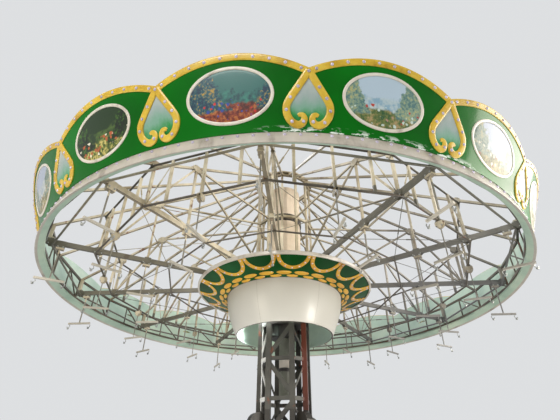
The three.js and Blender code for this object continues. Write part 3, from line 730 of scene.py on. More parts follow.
def keep_flat_place(obj):
    attribute = obj.data.attributes.new("flat_place", "FLOAT_VECTOR", "POINT")
    for value, vertex in zip(attribute.data, obj.data.vertices):
        value.vector = vertex.co


# %% Sixteen panels round the rim
PANEL_TURNS = [FIRST_PANEL_DEG + 90 + PANEL_STEP_DEG * i for i in range(PANELS)]
skin = panel_skin()
keep_flat_place(skin)
smooth(wrapped(leaned(skin)))
panel_skins = repeated(skin, "crown_skin", PANEL_TURNS)
for i, obj in enumerate(panel_skins):
    on_body("rotor", "crown_paint", obj)
    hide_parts(f"crown_panel_{i + 1:02d}")
print("panel skins", len(panel_skins))

# %% [markdown]
# ## Yellow mouldings
# An arch band runs along each panel's top, and a heart-shaped one covers each joint: both
# sides start at the valley between two arches and end in a scroll at the bottom. A strip
# with a rounded profile is swept along each path; on the scroll the strip grows narrower.

# %% Arch bands
ARCH_WIDTH = 0.09
ARCH_RISE = 0.012
ARCH_STEPS = 40


def upright(obj):
    settle(obj, rotation_euler=(math.pi / 2, 0, 0))
    return obj


def arch_line():
    xs = [PANEL_WIDTH * (i / ARCH_STEPS - 0.5) for i in range(ARCH_STEPS + 1)]
    return [(x, arch(x) - ARCH_WIDTH / 2) for x in xs]


arch_band = upright(moulding("arch_band", arch_line(), ARCH_WIDTH, ARCH_RISE, gold_gelcoat))
arches = repeated(wrapped(leaned(arch_band)), "arch_band", PANEL_TURNS)
print("arch bands", len(arches))

# %% Hearts: places on one side, from the valley down to the end of the scroll
HEART_WIDTH = 0.094
HEART_RISE = 0.02
HEART_SIDE = [(0.0, 0.955), (0.063, 0.850), (0.146, 0.718), (0.222, 0.602), (0.270, 0.502),
              (0.265, 0.392), (0.214, 0.304), (0.137, 0.259), (0.074, 0.280), (0.049, 0.334),
              (0.066, 0.376), (0.101, 0.388), (0.128, 0.376)]
HEART_SWELL = [1, 1, 1, 1, 1, 1, 1, 1, 0.95, 0.86, 0.74, 0.6, 0.42]
BATTEN_STEPS = 4


def heart():
    swell = [start + (end - start) * k / BATTEN_STEPS
             for start, end in zip(HEART_SWELL, HEART_SWELL[1:]) for k in range(BATTEN_STEPS)]
    swell.append(HEART_SWELL[-1])
    sides = []
    for side in (-1, 1):
        path = [(side * x, z) for x, z in batten(HEART_SIDE, BATTEN_STEPS)]
        strip = moulding("heart_side", path, HEART_WIDTH, HEART_RISE, gold_gelcoat, swell=swell)
        sides.append(upright(strip))
    return joined("heart", *sides)


JOINT_TURNS = [turn + PANEL_STEP_DEG / 2 for turn in PANEL_TURNS]
hearts = repeated(wrapped(leaned(heart())), "heart", JOINT_TURNS)
crown_mouldings = joined("crown_mouldings", *arches, *hearts)
smooth(crown_mouldings, 50)
on_body("rotor", "crown_paint", crown_mouldings)
print("mouldings", len(crown_mouldings.data.polygons), "faces")

# %% [markdown]
# ## Pictures
# Each panel carries an oval board with a painted landscape in a cream frame. The board is a
# flattened ball, cut in half, so that it is slightly crowned as a pressed sheet is. The
# landscapes are built from noise: a sky, far hills, a meadow and trees at the sides, each
# bounded by a line that the noise makes ragged, and flower heads where cells have centres.

# %% Sizes of the pictures
OVAL_HALF = (0.527, 0.345)
OVAL_Z = 0.665
OVAL_RISE = 0.010
FRAME_HALF = (0.539, 0.357)
FRAME_WIDTH = 0.042
FRAME_RISE = 0.012
FRAME_STEPS = 56
print("picture", 2 * OVAL_HALF[0], "by", 2 * OVAL_HALF[1], "m")


# %% Brushwork: noise as fine as a brush, broad dabs with fine ones in them, and a ragged line
def brushed(paint, canvas, patch_mm):
    return node(paint, NOISE, {"Vector": canvas, "Scale": patch_scale(patch_mm), "Detail": 6,
                               "Roughness": 0.62})


def dabs(paint, canvas, broad_mm, fine_mm):
    broad = brushed(paint, canvas, broad_mm)
    fine = brushed(paint, canvas, fine_mm)
    fine = node(paint, MATHS, {0: fine, 1: 0.55}, operation="MULTIPLY")
    return node(paint, MATHS, {0: broad, 1: 0.45, 2: fine}, operation="MULTIPLY_ADD")


def above(paint, canvas, z, line, raggedness, patch_mm, soft=0.015):
    shift = node(paint, MATHS, {0: brushed(paint, canvas, patch_mm), 1: raggedness,
                                2: -raggedness / 2}, operation="MULTIPLY_ADD")
    height = node(paint, MATHS, {0: z, 1: shift})
    return node(paint, RANGE, {"Value": height, "From Min": line - soft, "From Max": line + soft})


# %% Sky: long level streaks under broken cloud
def painted_sky(paint, canvas, place, z, sky):
    level = node(paint, MAPPING, {"Vector": place, "Scale": (1, 1, 3)})
    streaks = node(paint, MATHS, {0: z, 1: brushed(paint, level, 120)})
    air = node(paint, RAMP, {"Fac": streaks}, stops=[
        (0.0, sky[0]), (0.58, sky[0]), (0.68, sky[1]), (0.8, sky[0]), (1.0, sky[1])])
    cloudy = node(paint, RANGE, {"Value": dabs(paint, canvas, 150, 26), "From Min": 0.49,
                                 "From Max": 0.56, "To Max": 0.8})
    return node(paint, MIX, {0: cloudy, 6: air, 7: sky[1]}, 2, data_type="RGBA")


# %% Far hills and a meadow, each below its own ragged line
HILL_LINE = OVAL_Z + 0.05
MEADOW_LINE = OVAL_Z - 0.11


def painted_land(paint, canvas, z, air, hills, meadow):
    far = node(paint, RAMP, {"Fac": dabs(paint, canvas, 140, 40)},
               stops=[(0.44, hills[0]), (0.56, hills[1])])
    near = node(paint, RAMP, {"Fac": dabs(paint, canvas, 110, 22)},
                stops=[(0.42, meadow[0]), (0.5, meadow[1]), (0.57, meadow[2])])
    over_hills = above(paint, canvas, z, HILL_LINE, 0.34, 160)
    view = node(paint, MIX, {0: over_hills, 6: far, 7: air}, 2, data_type="RGBA")
    over_meadow = above(paint, canvas, z, MEADOW_LINE, 0.14, 80)
    return node(paint, MIX, {0: over_meadow, 6: near, 7: view}, 2, data_type="RGBA")


# %% Trees at both sides of a glade, which stands at a place along the picture
TRUNK_LINE = OVAL_Z - 0.19
GROVE_EDGE = 0.19


def painted_trees(paint, canvas, x, z, view, trees, glade):
    leaf = node(paint, RAMP, {"Fac": dabs(paint, canvas, 85, 17)},
                stops=[(0.44, trees[0]), (0.52, trees[1]), (0.6, trees[2])])
    off_glade = node(paint, MATHS, {0: x, 1: glade}, operation="SUBTRACT")
    off_glade = node(paint, MATHS, {0: off_glade}, operation="ABSOLUTE")
    side = node(paint, MATHS, {0: brushed(paint, canvas, 120), 1: 0.6, 2: off_glade},
                operation="MULTIPLY_ADD")
    side = node(paint, MATHS, {0: z, 1: -0.5, 2: side}, operation="MULTIPLY_ADD")
    grove = node(paint, RANGE, {"Value": side, "From Min": GROVE_EDGE,
                                "From Max": GROVE_EDGE + 0.03})
    over_trunks = above(paint, canvas, z, TRUNK_LINE, 0.12, 50)
    grove = node(paint, MATHS, {0: grove, 1: over_trunks}, operation="MULTIPLY")
    return node(paint, MIX, {0: grove, 6: view, 7: leaf}, 2, data_type="RGBA")


# %% Flower heads near the foot, gathered in beds
FLOWER_LINE = OVAL_Z - 0.18
FLOWER_SCALE = 15


def painted_flowers(paint, canvas, z, view, flowers):
    heads = node(paint, VORONOI, {"Vector": canvas, "Scale": FLOWER_SCALE}, "Distance")
    heads = node(paint, MATHS, {0: brushed(paint, canvas, 30), 1: 0.9, 2: heads},
                 operation="MULTIPLY_ADD")
    heads = node(paint, MATHS, {0: brushed(paint, canvas, 190), 1: -1.4, 2: heads},
                 operation="MULTIPLY_ADD")
    heads = node(paint, RANGE, {"Value": heads, "From Min": 0.06, "From Max": 0.0})
    low = node(paint, MATHS, {0: z, 1: FLOWER_LINE, 2: 0.13}, operation="COMPARE")
    heads = node(paint, MATHS, {0: heads, 1: low}, operation="MULTIPLY")
    chance = node(paint, VORONOI, {"Vector": canvas, "Scale": FLOWER_SCALE}, "Color")
    petals = node(paint, RAMP, {"Fac": chance}, stops=[(0.45, flowers[0]), (0.55, flowers[1])])
    return node(paint, MIX, {0: heads, 6: view, 7: petals}, 2, data_type="RGBA")


# %% Artist's enamel under a clear coat, with the marks of the brush in it
# The glade's place also shifts the noise, so that no two moods have the same landscape.
def picture_enamel(name, sky, hills, trees, meadow, flowers, glade):
    paint, shader = new_paint(name, 0.45, coat=0.15, coat_roughness=0.12)
    place = node(paint, ATTRIBUTE, output="Vector", attribute_name="flat_place")
    x = node(paint, SEPARATE, {"Vector": place}, "X")
    z = node(paint, SEPARATE, {"Vector": place}, "Z")
    canvas = node(paint, MAPPING, {"Vector": place, "Location": (glade * 90, 0, 0)})
    view = painted_sky(paint, canvas, place, z, sky)
    view = painted_land(paint, canvas, z, view, hills, meadow)
    view = painted_trees(paint, canvas, x, z, view, trees, glade)
    view = painted_flowers(paint, canvas, z, view, flowers)
    connect(paint, view, shader.inputs["Base Color"])
    marks = node(paint, BUMP, {"Height": brushed(paint, canvas, 12), "Distance": 0.001})
    connect(paint, marks, shader.inputs["Normal"])
    return paint


# %% Four moods, each from its own few tubes of colour
MOODS = {
    "forest": picture_enamel(
        "forest_picture_enamel", sky=("2f4f28", "16300f"), hills=("1c3416", "4a6428"),
        trees=("081407", "16300f", "3f6a1c"), meadow=("16300f", "5c6a24", "c2b268"),
        flowers=("dcd8c4", "a8542c"), glade=0.05),
    "autumn": picture_enamel(
        "autumn_picture_enamel", sky=("8fb0a0", "22605c"), hills=("0c4048", "2a7468"),
        trees=("0c2b44", "14545c", "a8862c"), meadow=("3f120a", "7c2c16", "a8642c"),
        flowers=("c01c20", "24408c"), glade=0.16),
    "lake": picture_enamel(
        "lake_picture_enamel", sky=("dfe2df", "a9bccb"), hills=("7fa0b4", "b4c2c4"),
        trees=("4a6f70", "7d9580", "aaa46c"), meadow=("2c5230", "66703a", "a08a62"),
        flowers=("a8382c", "b8c8c0"), glade=-0.05),
    "mist": picture_enamel(
        "mist_picture_enamel", sky=("d3d8e0", "a3adc0"), hills=("98a5b2", "bcc2c0"),
        trees=("5c7068", "86968a", "a89c74"), meadow=("54543a", "7f7c54", "a89c72"),
        flowers=("8c5848", "c8c4b4"), glade=0.02),
}
MOOD_ORDER = ["lake", "forest", "mist", "autumn", "mist", "forest", "lake", "autumn",
              "lake", "mist", "forest", "autumn", "lake", "mist", "mist", "autumn"]


# %% Picture boards
def picture_board():
    bpy.ops.object.select_all(action="DESELECT")
    bpy.ops.mesh.primitive_uv_sphere_add(segments=48, ring_count=12, rotation=(math.pi / 2, 0, 0),
                                         location=(0, 0, OVAL_Z), scale=(*OVAL_HALF, OVAL_RISE))
    board = named("picture_board")
    bpy.ops.object.mode_set(mode="EDIT")
    bpy.ops.mesh.select_all(action="SELECT")
    bpy.ops.mesh.bisect(plane_co=(0, 0, 0), plane_no=(0, 1, 0), use_fill=True, clear_outer=True)
    bpy.ops.object.mode_set(mode="OBJECT")
    keep_flat_place(board)
    return board


boards = repeated(wrapped(leaned(picture_board())), "picture_board", PANEL_TURNS)
for obj, mood in zip(boards, MOOD_ORDER):
    obj.data.materials.append(MOODS[mood])
    smooth(obj)
    on_body("rotor", "crown_paint", obj)
print("boards", len(boards))

# %% Picture frames
turns = [2 * math.pi * i / FRAME_STEPS for i in range(FRAME_STEPS)]
path = [(FRAME_HALF[0] * math.cos(t), OVAL_Z + FRAME_HALF[1] * math.sin(t)) for t in turns]
frame_strip = upright(moulding("picture_frame", path, FRAME_WIDTH, FRAME_RISE, frame_gelcoat,
                               closed=True))
frames = repeated(wrapped(leaned(frame_strip)), "picture_frame", PANEL_TURNS)
picture_frames = joined("picture_frames", *frames)
smooth(picture_frames, 50)
on_body("rotor", "cream_paint", picture_frames)
print("frames", len(frames))

# %% [markdown]
# ## Rim band
# The band is a turned piece: a closed profile is spun round the mast's axis. Its face leans
# out to a rounded lower edge, and its inner side keeps the mint topcoat.

# %% Rim band
BAND = [(4.9765, 5.2246), (4.9980, 5.2246), (5.0010, 5.2210), (5.0285, 5.0380), (5.0285, 5.0320),
        (5.0235, 5.0310), (4.9880, 5.0550), (4.8960, 5.1180), (4.8900, 5.1500), (4.8940, 5.1548),
        (4.9540, 5.1548), (4.9575, 5.1580)]
INNER_SIDE_R = 4.985
INNER_SIDE_Z = 5.06
rim_band = turned("rim_band_skin", BAND, cream_gelcoat, steps=192)
rim_band.data.materials.append(mint_topcoat)
for face in rim_band.data.polygons:
    middle = face.center
    if math.hypot(middle.x, middle.y) < INNER_SIDE_R and middle.z > INNER_SIDE_Z:
        face.material_index = 1
on_body("rotor", "cream_paint", rim_band)
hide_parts("rim_band")
print("rim band", len(rim_band.data.polygons), "faces")

# %% [markdown]
# ## Lamps of the crown
# The lamps are milky caps of one size, each a flattened ball cut in half. One is modelled for
# each place on a panel, laid out flat along the mouldings and the band, and bent with them.

# %% One cap, and places at equal steps along a path
LAMP_R = 0.0225


def lamp_at(x, z):
    bpy.ops.object.select_all(action="DESELECT")
    bpy.ops.mesh.primitive_uv_sphere_add(segments=10, ring_count=6, radius=LAMP_R,
                                         rotation=(math.pi / 2, 0, 0), location=(x, 0, z),
                                         scale=(1, 1, 0.8))
    cap = named("lamp")
    bpy.ops.object.mode_set(mode="EDIT")
    bpy.ops.mesh.select_all(action="SELECT")
    bpy.ops.mesh.bisect(plane_co=(0, 0.001, 0), plane_no=(0, 1, 0), use_fill=True,
                        clear_outer=True)
    bpy.ops.object.mode_set(mode="OBJECT")
    return cap


def along(path, count):
    lengths = [0.0]
    for a, b in zip(path, path[1:]):
        lengths.append(lengths[-1] + math.dist(a, b))
    places = []
    for i in range(count):
        want = lengths[-1] * (i + 0.5) / count
        k = max(j for j, length in enumerate(lengths) if length <= want)
        k = min(k, len(path) - 2)
        t = (want - lengths[k]) / (lengths[k + 1] - lengths[k])
        places.append([a + (b - a) * t for a, b in zip(path[k], path[k + 1])])
    return places


# %% Caps of one panel, each row sunk a little into what carries it
CAP_SINK = 0.002
BAND_LEAN = 0.0075
ARCH_LAMPS = 10
HEART_LAMPS = 6
BAND_LAMPS = 10
VALLEY_LAMP_Z = 0.943
BAND_LAMP_Z = 0.12
arch_caps = joined("arch_caps", *[lamp_at(x, z) for x, z in along(arch_line(), ARCH_LAMPS)])
settle(arch_caps, location=(0, CAP_SINK - ARCH_RISE, 0))
heart_line = batten(HEART_SIDE[:11], BATTEN_STEPS)
heart_caps = [lamp_at(0, VALLEY_LAMP_Z)]
for side in (-1, 1):
    heart_caps += [lamp_at(side * x, z) for x, z in along(heart_line, HEART_LAMPS)[1:]]
heart_caps = joined("heart_caps", *heart_caps)
settle(heart_caps, location=(0, CAP_SINK - HEART_RISE, 0))
band_xs = [PANEL_WIDTH * ((i + 0.5) / BAND_LAMPS - 0.5) for i in range(BAND_LAMPS)]
band_caps = joined("band_caps", *[lamp_at(x, BAND_LAMP_Z) for x in band_xs])
settle(band_caps, location=(0, -BAND_LEAN, 0))

# %% Caps bent round the crown with their panel
band_caps = wrapped(band_caps)
arch_caps = wrapped(leaned(arch_caps))
heart_caps = wrapped(leaned(heart_caps))
settle(heart_caps, rotation_euler=(0, 0, math.radians(PANEL_STEP_DEG / 2)))
caps = joined("caps", arch_caps, heart_caps, band_caps)
caps.data.materials.append(lamp_cap)
crown_lamps = joined("crown_lamps", *repeated(caps, "caps", PANEL_TURNS))
smooth(crown_lamps)
on_body("rotor", "cream_paint", crown_lamps)
print("crown lamps", len(crown_lamps.data.polygons), "faces")

# %% [markdown]
# ## Cone
# A shallow green cone fills the space round the hub, spun from a wall of even thickness. Its
# underside carries raised ornament: round arches that open to its rim, with lamps on them,
# and two rows of ovals round the drum. They are modelled flat in plan, set round the axis,
# and then every point is moved down to the cone's slope by its radius.

# %% Inner cone
CONE_R = 1.94
DRUM_R = 1.263
CONE_LOW = 4.98
CONE_HIGH = 5.17
CONE_SKIN = 0.015
CONE_OUT = CONE_R - 0.0414
CONE_IN = DRUM_R + 0.0214
SLOPE = (CONE_HIGH - CONE_LOW) / (CONE_OUT - CONE_IN)
wall = [(CONE_IN, CONE_LOW), (CONE_OUT, CONE_HIGH), (CONE_OUT, CONE_HIGH + CONE_SKIN),
        (CONE_IN, CONE_LOW + CONE_SKIN)]
cone = turned("cone_skin", wall, cone_gelcoat)
cone.data.materials.append(mint_topcoat)
for face in cone.data.polygons:
    face.material_index = 1 if face.normal.z > 0.5 else 0
on_body("rotor", "crown_paint", cone)
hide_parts("cone_canopy")
print("cone falls", round(math.degrees(math.atan(SLOPE)), 1), "degrees towards the drum")

# %% Cone ornaments
CONE_ARCHES = 17
CONE_FIRST_DEG = 205.3 + 180 / CONE_ARCHES
CONE_ARCH_OUTER_R = CONE_OUT - 0.004
CONE_ARCH_INNER_R = 1.545
CONE_ARCH_HALF = 0.302
CONE_ARCH_WIDTH = 0.078
CONE_ARCH_STEPS = 24
OVALS = 25
OUTER_OVAL = (1.402, 0.050, 0.150)
INNER_OVAL = (1.317, 0.034, 0.116)


def cone_z(radius):
    return CONE_LOW + SLOPE * (radius - CONE_IN)


def lifted_to_cone(obj):
    for vertex in obj.data.vertices:
        vertex.co.z = cone_z(math.hypot(vertex.co.x, vertex.co.y)) - vertex.co.z
    pick(obj)
    bpy.ops.object.mode_set(mode="EDIT")
    bpy.ops.mesh.select_all(action="SELECT")
    bpy.ops.mesh.normals_make_consistent(inside=False)
    bpy.ops.object.mode_set(mode="OBJECT")
    return obj


def cone_oval(radius, half_width, half_length):
    bpy.ops.object.select_all(action="DESELECT")
    bpy.ops.mesh.primitive_uv_sphere_add(segments=20, ring_count=8, location=(radius, 0, 0),
                                         scale=(half_width, half_length, 0.016))
    return named("oval", cone_gold)


reach = CONE_ARCH_OUTER_R - CONE_ARCH_INNER_R
turns = [math.pi * i / CONE_ARCH_STEPS for i in range(CONE_ARCH_STEPS + 1)]
cone_arch_path = [(CONE_ARCH_OUTER_R - reach * math.sin(t), -CONE_ARCH_HALF * math.cos(t))
                  for t in turns]
CONE_TURNS = [CONE_FIRST_DEG + 360 / CONE_ARCHES * i for i in range(CONE_ARCHES)]
cone_arch = moulding("cone_arch", cone_arch_path, CONE_ARCH_WIDTH, ARCH_RISE, cone_gold)
cone_arches = repeated(cone_arch, "cone_arch", CONE_TURNS)
outer_turns = [360 / OVALS * i for i in range(OVALS)]
outer_ovals = repeated(cone_oval(*OUTER_OVAL), "oval", outer_turns)
inner_turns = [360 / OVALS * (i + 0.5) for i in range(OVALS)]
inner_ovals = repeated(cone_oval(*INNER_OVAL), "oval", inner_turns)
cone_ornament = lifted_to_cone(joined("cone_ornament", *cone_arches, *outer_ovals, *inner_ovals))
smooth(cone_ornament, 50)
on_body("rotor", "crown_paint", cone_ornament)
print("cone arches", len(cone_arches), "ovals", 2 * OVALS)

# %% Lamps on the cone's arches, at the height that its slope has at each
CONE_LAMPS = 7
CONE_LAMP_R = 0.019
cone_caps = []
for x, y in along(cone_arch_path, CONE_LAMPS):
    bpy.ops.object.select_all(action="DESELECT")
    z = cone_z(math.hypot(x, y)) + CAP_SINK - ARCH_RISE
    bpy.ops.mesh.primitive_uv_sphere_add(segments=10, ring_count=6, radius=CONE_LAMP_R,
                                         location=(x, y, z), scale=(1, 1, 0.7))
    cone_caps.append(named("lamp"))
cone_caps = joined("cone_caps", *cone_caps)
cone_caps.data.materials.append(lamp_cap)
cone_lamps = joined("cone_lamps", *repeated(cone_caps, "cone_caps", CONE_TURNS))
smooth(cone_lamps)
on_body("rotor", "cream_paint", cone_lamps)
print("cone lamps", CONE_LAMPS * CONE_ARCHES)

# %% [markdown]
# ## Cone rim and drum
# A cream ring with rounded edges closes the cone's rim. The drum below the cone is a shell that
# swells upwards like a bowl, with a lip at its top and a flange turned in at its foot; the faces
# under the lip and the flange carry a painted shade in dark enamel. Both are the same all round, so
# a closed profile is spun for each.

# %% Cone rim
CONE_RIM = [(1.9, 5.150), (1.93, 5.148), (1.94, 5.162), (1.94, 5.208), (1.93, 5.222),
            (1.905, 5.222), (1.8990, 5.21), (1.8990, 5.16)]
cone_rim = turned("cone_rim_skin", CONE_RIM, cream_gelcoat)
on_body("rotor", "cream_paint", cone_rim)
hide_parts("cone_rim")
print("cone rim", len(cone_rim.data.polygons), "faces")

# %% Drum: the outer wall from its foot to its top, and back down inside
DRUM_FOOT_R = 1.038
DRUM_FOOT_Z = 4.172
DRUM_TOP_Z = 4.98
DRUM_WALL = 0.014
DRUM_STEPS = 16
FLANGE = 0.008
LIP_REACH, LIP_RISE = 0.021, 0.02
FOOT_EDGE = [(-0.033, 0.015), (-0.035, 0.008), (-0.032, 0.0), (-0.006, 0.0)]
outer = []
for i in range(DRUM_STEPS + 1):
    share = i / DRUM_STEPS
    outer.append((DRUM_FOOT_R + (DRUM_R - DRUM_FOOT_R) * math.sin(share * math.pi / 2),
                  DRUM_FOOT_Z + FLANGE + (DRUM_TOP_Z - DRUM_FOOT_Z - FLANGE) * share))
inner = [(r - DRUM_WALL, max(z, DRUM_FOOT_Z + 2 * FLANGE)) for r, z in reversed(outer)]
top_edge = [(DRUM_R + LIP_REACH, DRUM_TOP_Z), (DRUM_R + LIP_REACH, DRUM_TOP_Z + LIP_RISE),
            (DRUM_R - DRUM_WALL, DRUM_TOP_Z + LIP_RISE)]
foot_edge = [(DRUM_FOOT_R + r, DRUM_FOOT_Z + z) for r, z in FOOT_EDGE]
drum = turned("drum_skin", [*outer, *top_edge, *inner, *foot_edge], drum_gelcoat)
drum.data.materials.append(mint_topcoat)
drum.data.materials.append(dark_enamel)
# Painted shade: faces that look straight down, under the lip and the foot's flange, take the dark
# enamel; faces that look inwards take the mint topcoat
for face in drum.data.polygons:
    middle = face.center
    outward = Vector((middle.x, middle.y, 0)).dot(face.normal)
    face.material_index = 2 if face.normal.z < -0.9 else 1 if outward < -0.1 else 0
on_body("rotor", "cream_paint", drum)
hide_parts("drum")
print("drum", len(drum.data.polygons), "faces")

# %% [markdown]
# ## Steelwork
# The lattice stays as the solids give it, with its enamel on. What a welder and a fitter
# add is modelled here: gusset plates with bolts at the joints, tie rods that square up
# each bay, hooks on the spreader bars, and bolts on the hanger plates, mast joint and feet.

# %% Enamel on the solids that stay
STEEL = {"rim_truss": dark_enamel, "cone_spider": dark_enamel, "hub_cage": arm_enamel,
         "roof_frame": arm_enamel, "mast_cap": gear_iron, "centre_column": column_enamel,
         "turning_gear": gear_iron, "cable_tube": tube_enamel}
enamelled = 0
for name, obj in nodes.items():
    paint = STEEL.get(name)
    if name.startswith("arm_"):
        paint = arm_enamel
    if name.startswith(("mast_upper", "mast_lower", "base_", "foot_")):
        paint = mast_enamel
    if paint:
        obj.data.materials.clear()
        obj.data.materials.append(paint)
        enamelled += 1
print("enamelled", enamelled, "solids")

# %% Sizes of the lattice, as in the solids
ARMS = 12
CHORD_Z = 5.29
CHORD_HALF = 0.03
RAFTER_HALF = 0.0225
TIE_R = 3.08
RING_R = 4.05
INNER_RING_R = 2.63
OUTER_RING_R = 4.80
RING_LOW_Z = 5.2276
RING_HIGH_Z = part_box("ring_truss")[1].z - 0.02
HANGER_RADII = (3.08, 4.65)
RING_HANGER_R = RING_R * math.cos(math.pi / ARMS)
ARM_SPREADER_Z = 4.566
RING_SPREADER_Z = 4.5316
ARM_TURNS = [360 / ARMS * i for i in range(ARMS)]
BAY_TURNS = [360 / ARMS * (i + 0.5) for i in range(ARMS)]
RAFTER_TOP_R, RAFTER_TOP_Z = 0.6754, 8.08
RAFTER_REACH, RAFTER_FALL = 4.2322, 2.45


def rafter_z(radius):
    return RAFTER_TOP_Z - RAFTER_FALL * (radius - RAFTER_TOP_R) / RAFTER_REACH


print("rafters end at", round(rafter_z(RAFTER_TOP_R + RAFTER_REACH), 2), "m")

# %% [markdown]
# ## Gussets
# Where an arm's members meet, a plate with cut corners is bolted on each side of the joint.
# A cylinder with eight sides, squashed to a plate, has those corners already, and a small
# bevel takes the sharpness off its edges. Each bolt head is a short cylinder with six sides.

# %% A hexagonal bolt head on a face that looks along Y
def bolt(x, y, z, radius=0.013, rise=0.010):
    bpy.ops.object.select_all(action="DESELECT")
    bpy.ops.mesh.primitive_cylinder_add(vertices=6, radius=radius, depth=rise, location=(x, y, z),
                                        rotation=(math.pi / 2, 0, 0))
    return shaped(named("bolt"), ("BEVEL", {"width": radius * 0.18, "segments": 1}))


# %% A gusset: a plate with cut corners on each side of a joint, with four bolts
PLATE_MM = 8
ACROSS_FLATS = 1.85


def gusset(x, z, half_gap, length, height):
    thick = PLATE_MM / 1000
    plates = []
    for side in (-1, 1):
        bpy.ops.object.select_all(action="DESELECT")
        bpy.ops.mesh.primitive_cylinder_add(vertices=8, radius=1, depth=1,
                                            rotation=(math.pi / 2, math.pi / 8, 0))
        plate = named("plate", arm_enamel, zinc)
        settle(plate, scale=(length / ACROSS_FLATS, thick, height / ACROSS_FLATS))
        settle(plate, location=(x, side * (half_gap + thick / 2), z))
        plates.append(shaped(plate, ("BEVEL", {"width": 0.0015, "segments": 1})))
        for dx in (-0.3, 0.3):
            for dz in (-0.3, 0.3):
                head = bolt(x + dx * length, side * (half_gap + 1.5 * thick), z + dz * height)
                head.data.materials.append(arm_enamel)
                head.data.materials.append(zinc)
                for face in head.data.polygons:
                    face.material_index = 1
                plates.append(head)
    return joined("gusset", *plates)


# %% Five gussets on one arm: at the two uprights on both chords, and at the arm's end
# Each has its radius and height, half the width of the bars, and its own length and height.
UPRIGHT_R = 4.0
ARM_END_R = 4.83
gussets = joined("gussets", gusset(TIE_R, CHORD_Z - 0.01, CHORD_HALF, 0.24, 0.15),
                 gusset(TIE_R, rafter_z(TIE_R) - 0.02, RAFTER_HALF, 0.22, 0.16),
                 gusset(UPRIGHT_R, CHORD_Z, CHORD_HALF, 0.20, 0.15),
                 gusset(UPRIGHT_R, rafter_z(UPRIGHT_R) - 0.03, RAFTER_HALF, 0.18, 0.15),
                 gusset(ARM_END_R, CHORD_Z + 0.01, CHORD_HALF, 0.13, 0.17))
arm_gussets = joined("arm_gussets", *repeated(gussets, "gussets", ARM_TURNS))
on_body("rotor", "arm_paint", arm_gussets)
print("gussets", len(arm_gussets.data.polygons), "faces")


# %% [markdown]
# ## Tie rods
# Thin rods cross in every bay between two arms, and in every bay of the ring truss, and pull
# the ride square. Each is a long cylinder with a thicker one of six sides at its middle, the
# turnbuckle by which it is tightened. One bay's four rods are modelled and then repeated.


# %% A rod between two points, with its turnbuckle
def tie_rod(start, end, radius=0.006):
    start, end = Vector(start), Vector(end)
    way = end - start
    turn = way.to_track_quat("Z", "Y").to_euler()
    pieces = []
    for vertices, thick, length in ((8, radius, way.length), (6, radius * 2.1, 0.16)):
        bpy.ops.object.select_all(action="DESELECT")
        bpy.ops.mesh.primitive_cylinder_add(vertices=vertices, radius=thick, depth=length,
                                            location=(start + end) / 2, rotation=turn)
        pieces.append(named("rod", arm_enamel))
    shaped(pieces[1], ("BEVEL", {"width": radius * 0.9, "segments": 1}))
    return joined("tie_rod", *pieces)


def in_plan(radius, degrees, z):
    return (radius * math.cos(math.radians(degrees)), radius * math.sin(math.radians(degrees)), z)


# %% Two level rods that cross, one just above the other, and two raking ones in the truss
BAY_DEG = 360 / ARMS
ROD_END_DEG = 0.6
LOWER_ROD_Z = 5.222
UPPER_ROD_Z = 5.240
RAKING_ROD_Z = (5.25, 6.03)
RAKING_ROD_R = 0.008
bay_rods = []
bay_rods.append(tie_rod(in_plan(INNER_RING_R, ROD_END_DEG, LOWER_ROD_Z),
                        in_plan(RING_R, BAY_DEG - ROD_END_DEG, LOWER_ROD_Z)))
bay_rods.append(tie_rod(in_plan(INNER_RING_R, BAY_DEG - ROD_END_DEG, UPPER_ROD_Z),
                        in_plan(RING_R, ROD_END_DEG, UPPER_ROD_Z)))
corner = Vector(in_plan(RING_R, 0, 0))
next_corner = Vector(in_plan(RING_R, BAY_DEG, 0))
for start_share, end_share in ((0.02, 0.2), (0.98, 0.8)):
    start = corner.lerp(next_corner, start_share)
    end = corner.lerp(next_corner, end_share)
    start.z, end.z = RAKING_ROD_Z
    bay_rods.append(tie_rod(start, end, RAKING_ROD_R))
tie_rods = joined("tie_rods", *repeated(joined("bay_rods", *bay_rods), "bay_rods", ARM_TURNS))
smooth(tie_rods, 50)
on_body("rotor", "frame_paint", tie_rods)
print("tie rods", len(tie_rods.data.polygons), "faces")


# %% [markdown]
# ## Ring truss and tie rings
# The rings are round pipes, mitred and welded where they pass an arm, so each is a small
# circle turned round the mast in twelve steps. Square tubes stand between the two rings of
# the truss. In the middle of each bay two cheek plates clasp the lower ring and hold a rod
# by its eye, and the rod ends in a square spreader bar.


# %% Rings of pipe
def pipe_ring(name, radius, z, paint, pipe=0.02):
    turns = [math.pi * i / 8 for i in range(16)]
    profile = [(radius + pipe * math.cos(t), z + pipe * math.sin(t)) for t in turns]
    ring = turned(name, profile, paint, steps=ARMS)
    smooth(ring, 25)
    return ring


low_ring = pipe_ring("low_ring", RING_R, RING_LOW_Z, dark_enamel)
high_ring = pipe_ring("high_ring", RING_R, RING_HIGH_Z, dark_enamel)
inner_tie = pipe_ring("inner_tie_ring", INNER_RING_R, RING_LOW_Z, dark_enamel, pipe=0.017)
outer_tie = pipe_ring("outer_tie_ring", OUTER_RING_R, RING_LOW_Z, arm_enamel)
on_body("rotor", "frame_paint", inner_tie, outer_tie)
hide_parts("inner_ring")
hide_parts("outer_ring")
print("pipe rings 4, the truss's", round(RING_HIGH_Z - RING_LOW_Z, 3), "m apart")


# %% A square tube between two points, and the hanger of one bay
def square_tube(start, end, width):
    start, end = Vector(start), Vector(end)
    way = end - start
    turn = way.to_track_quat("Z", "Y").to_euler()
    bpy.ops.object.select_all(action="DESELECT")
    bpy.ops.mesh.primitive_cube_add(size=1, location=(start + end) / 2, rotation=turn,
                                    scale=(width, width, way.length))
    return shaped(named("tube", arm_enamel), ("BEVEL", {"width": 0.004, "segments": 2}))


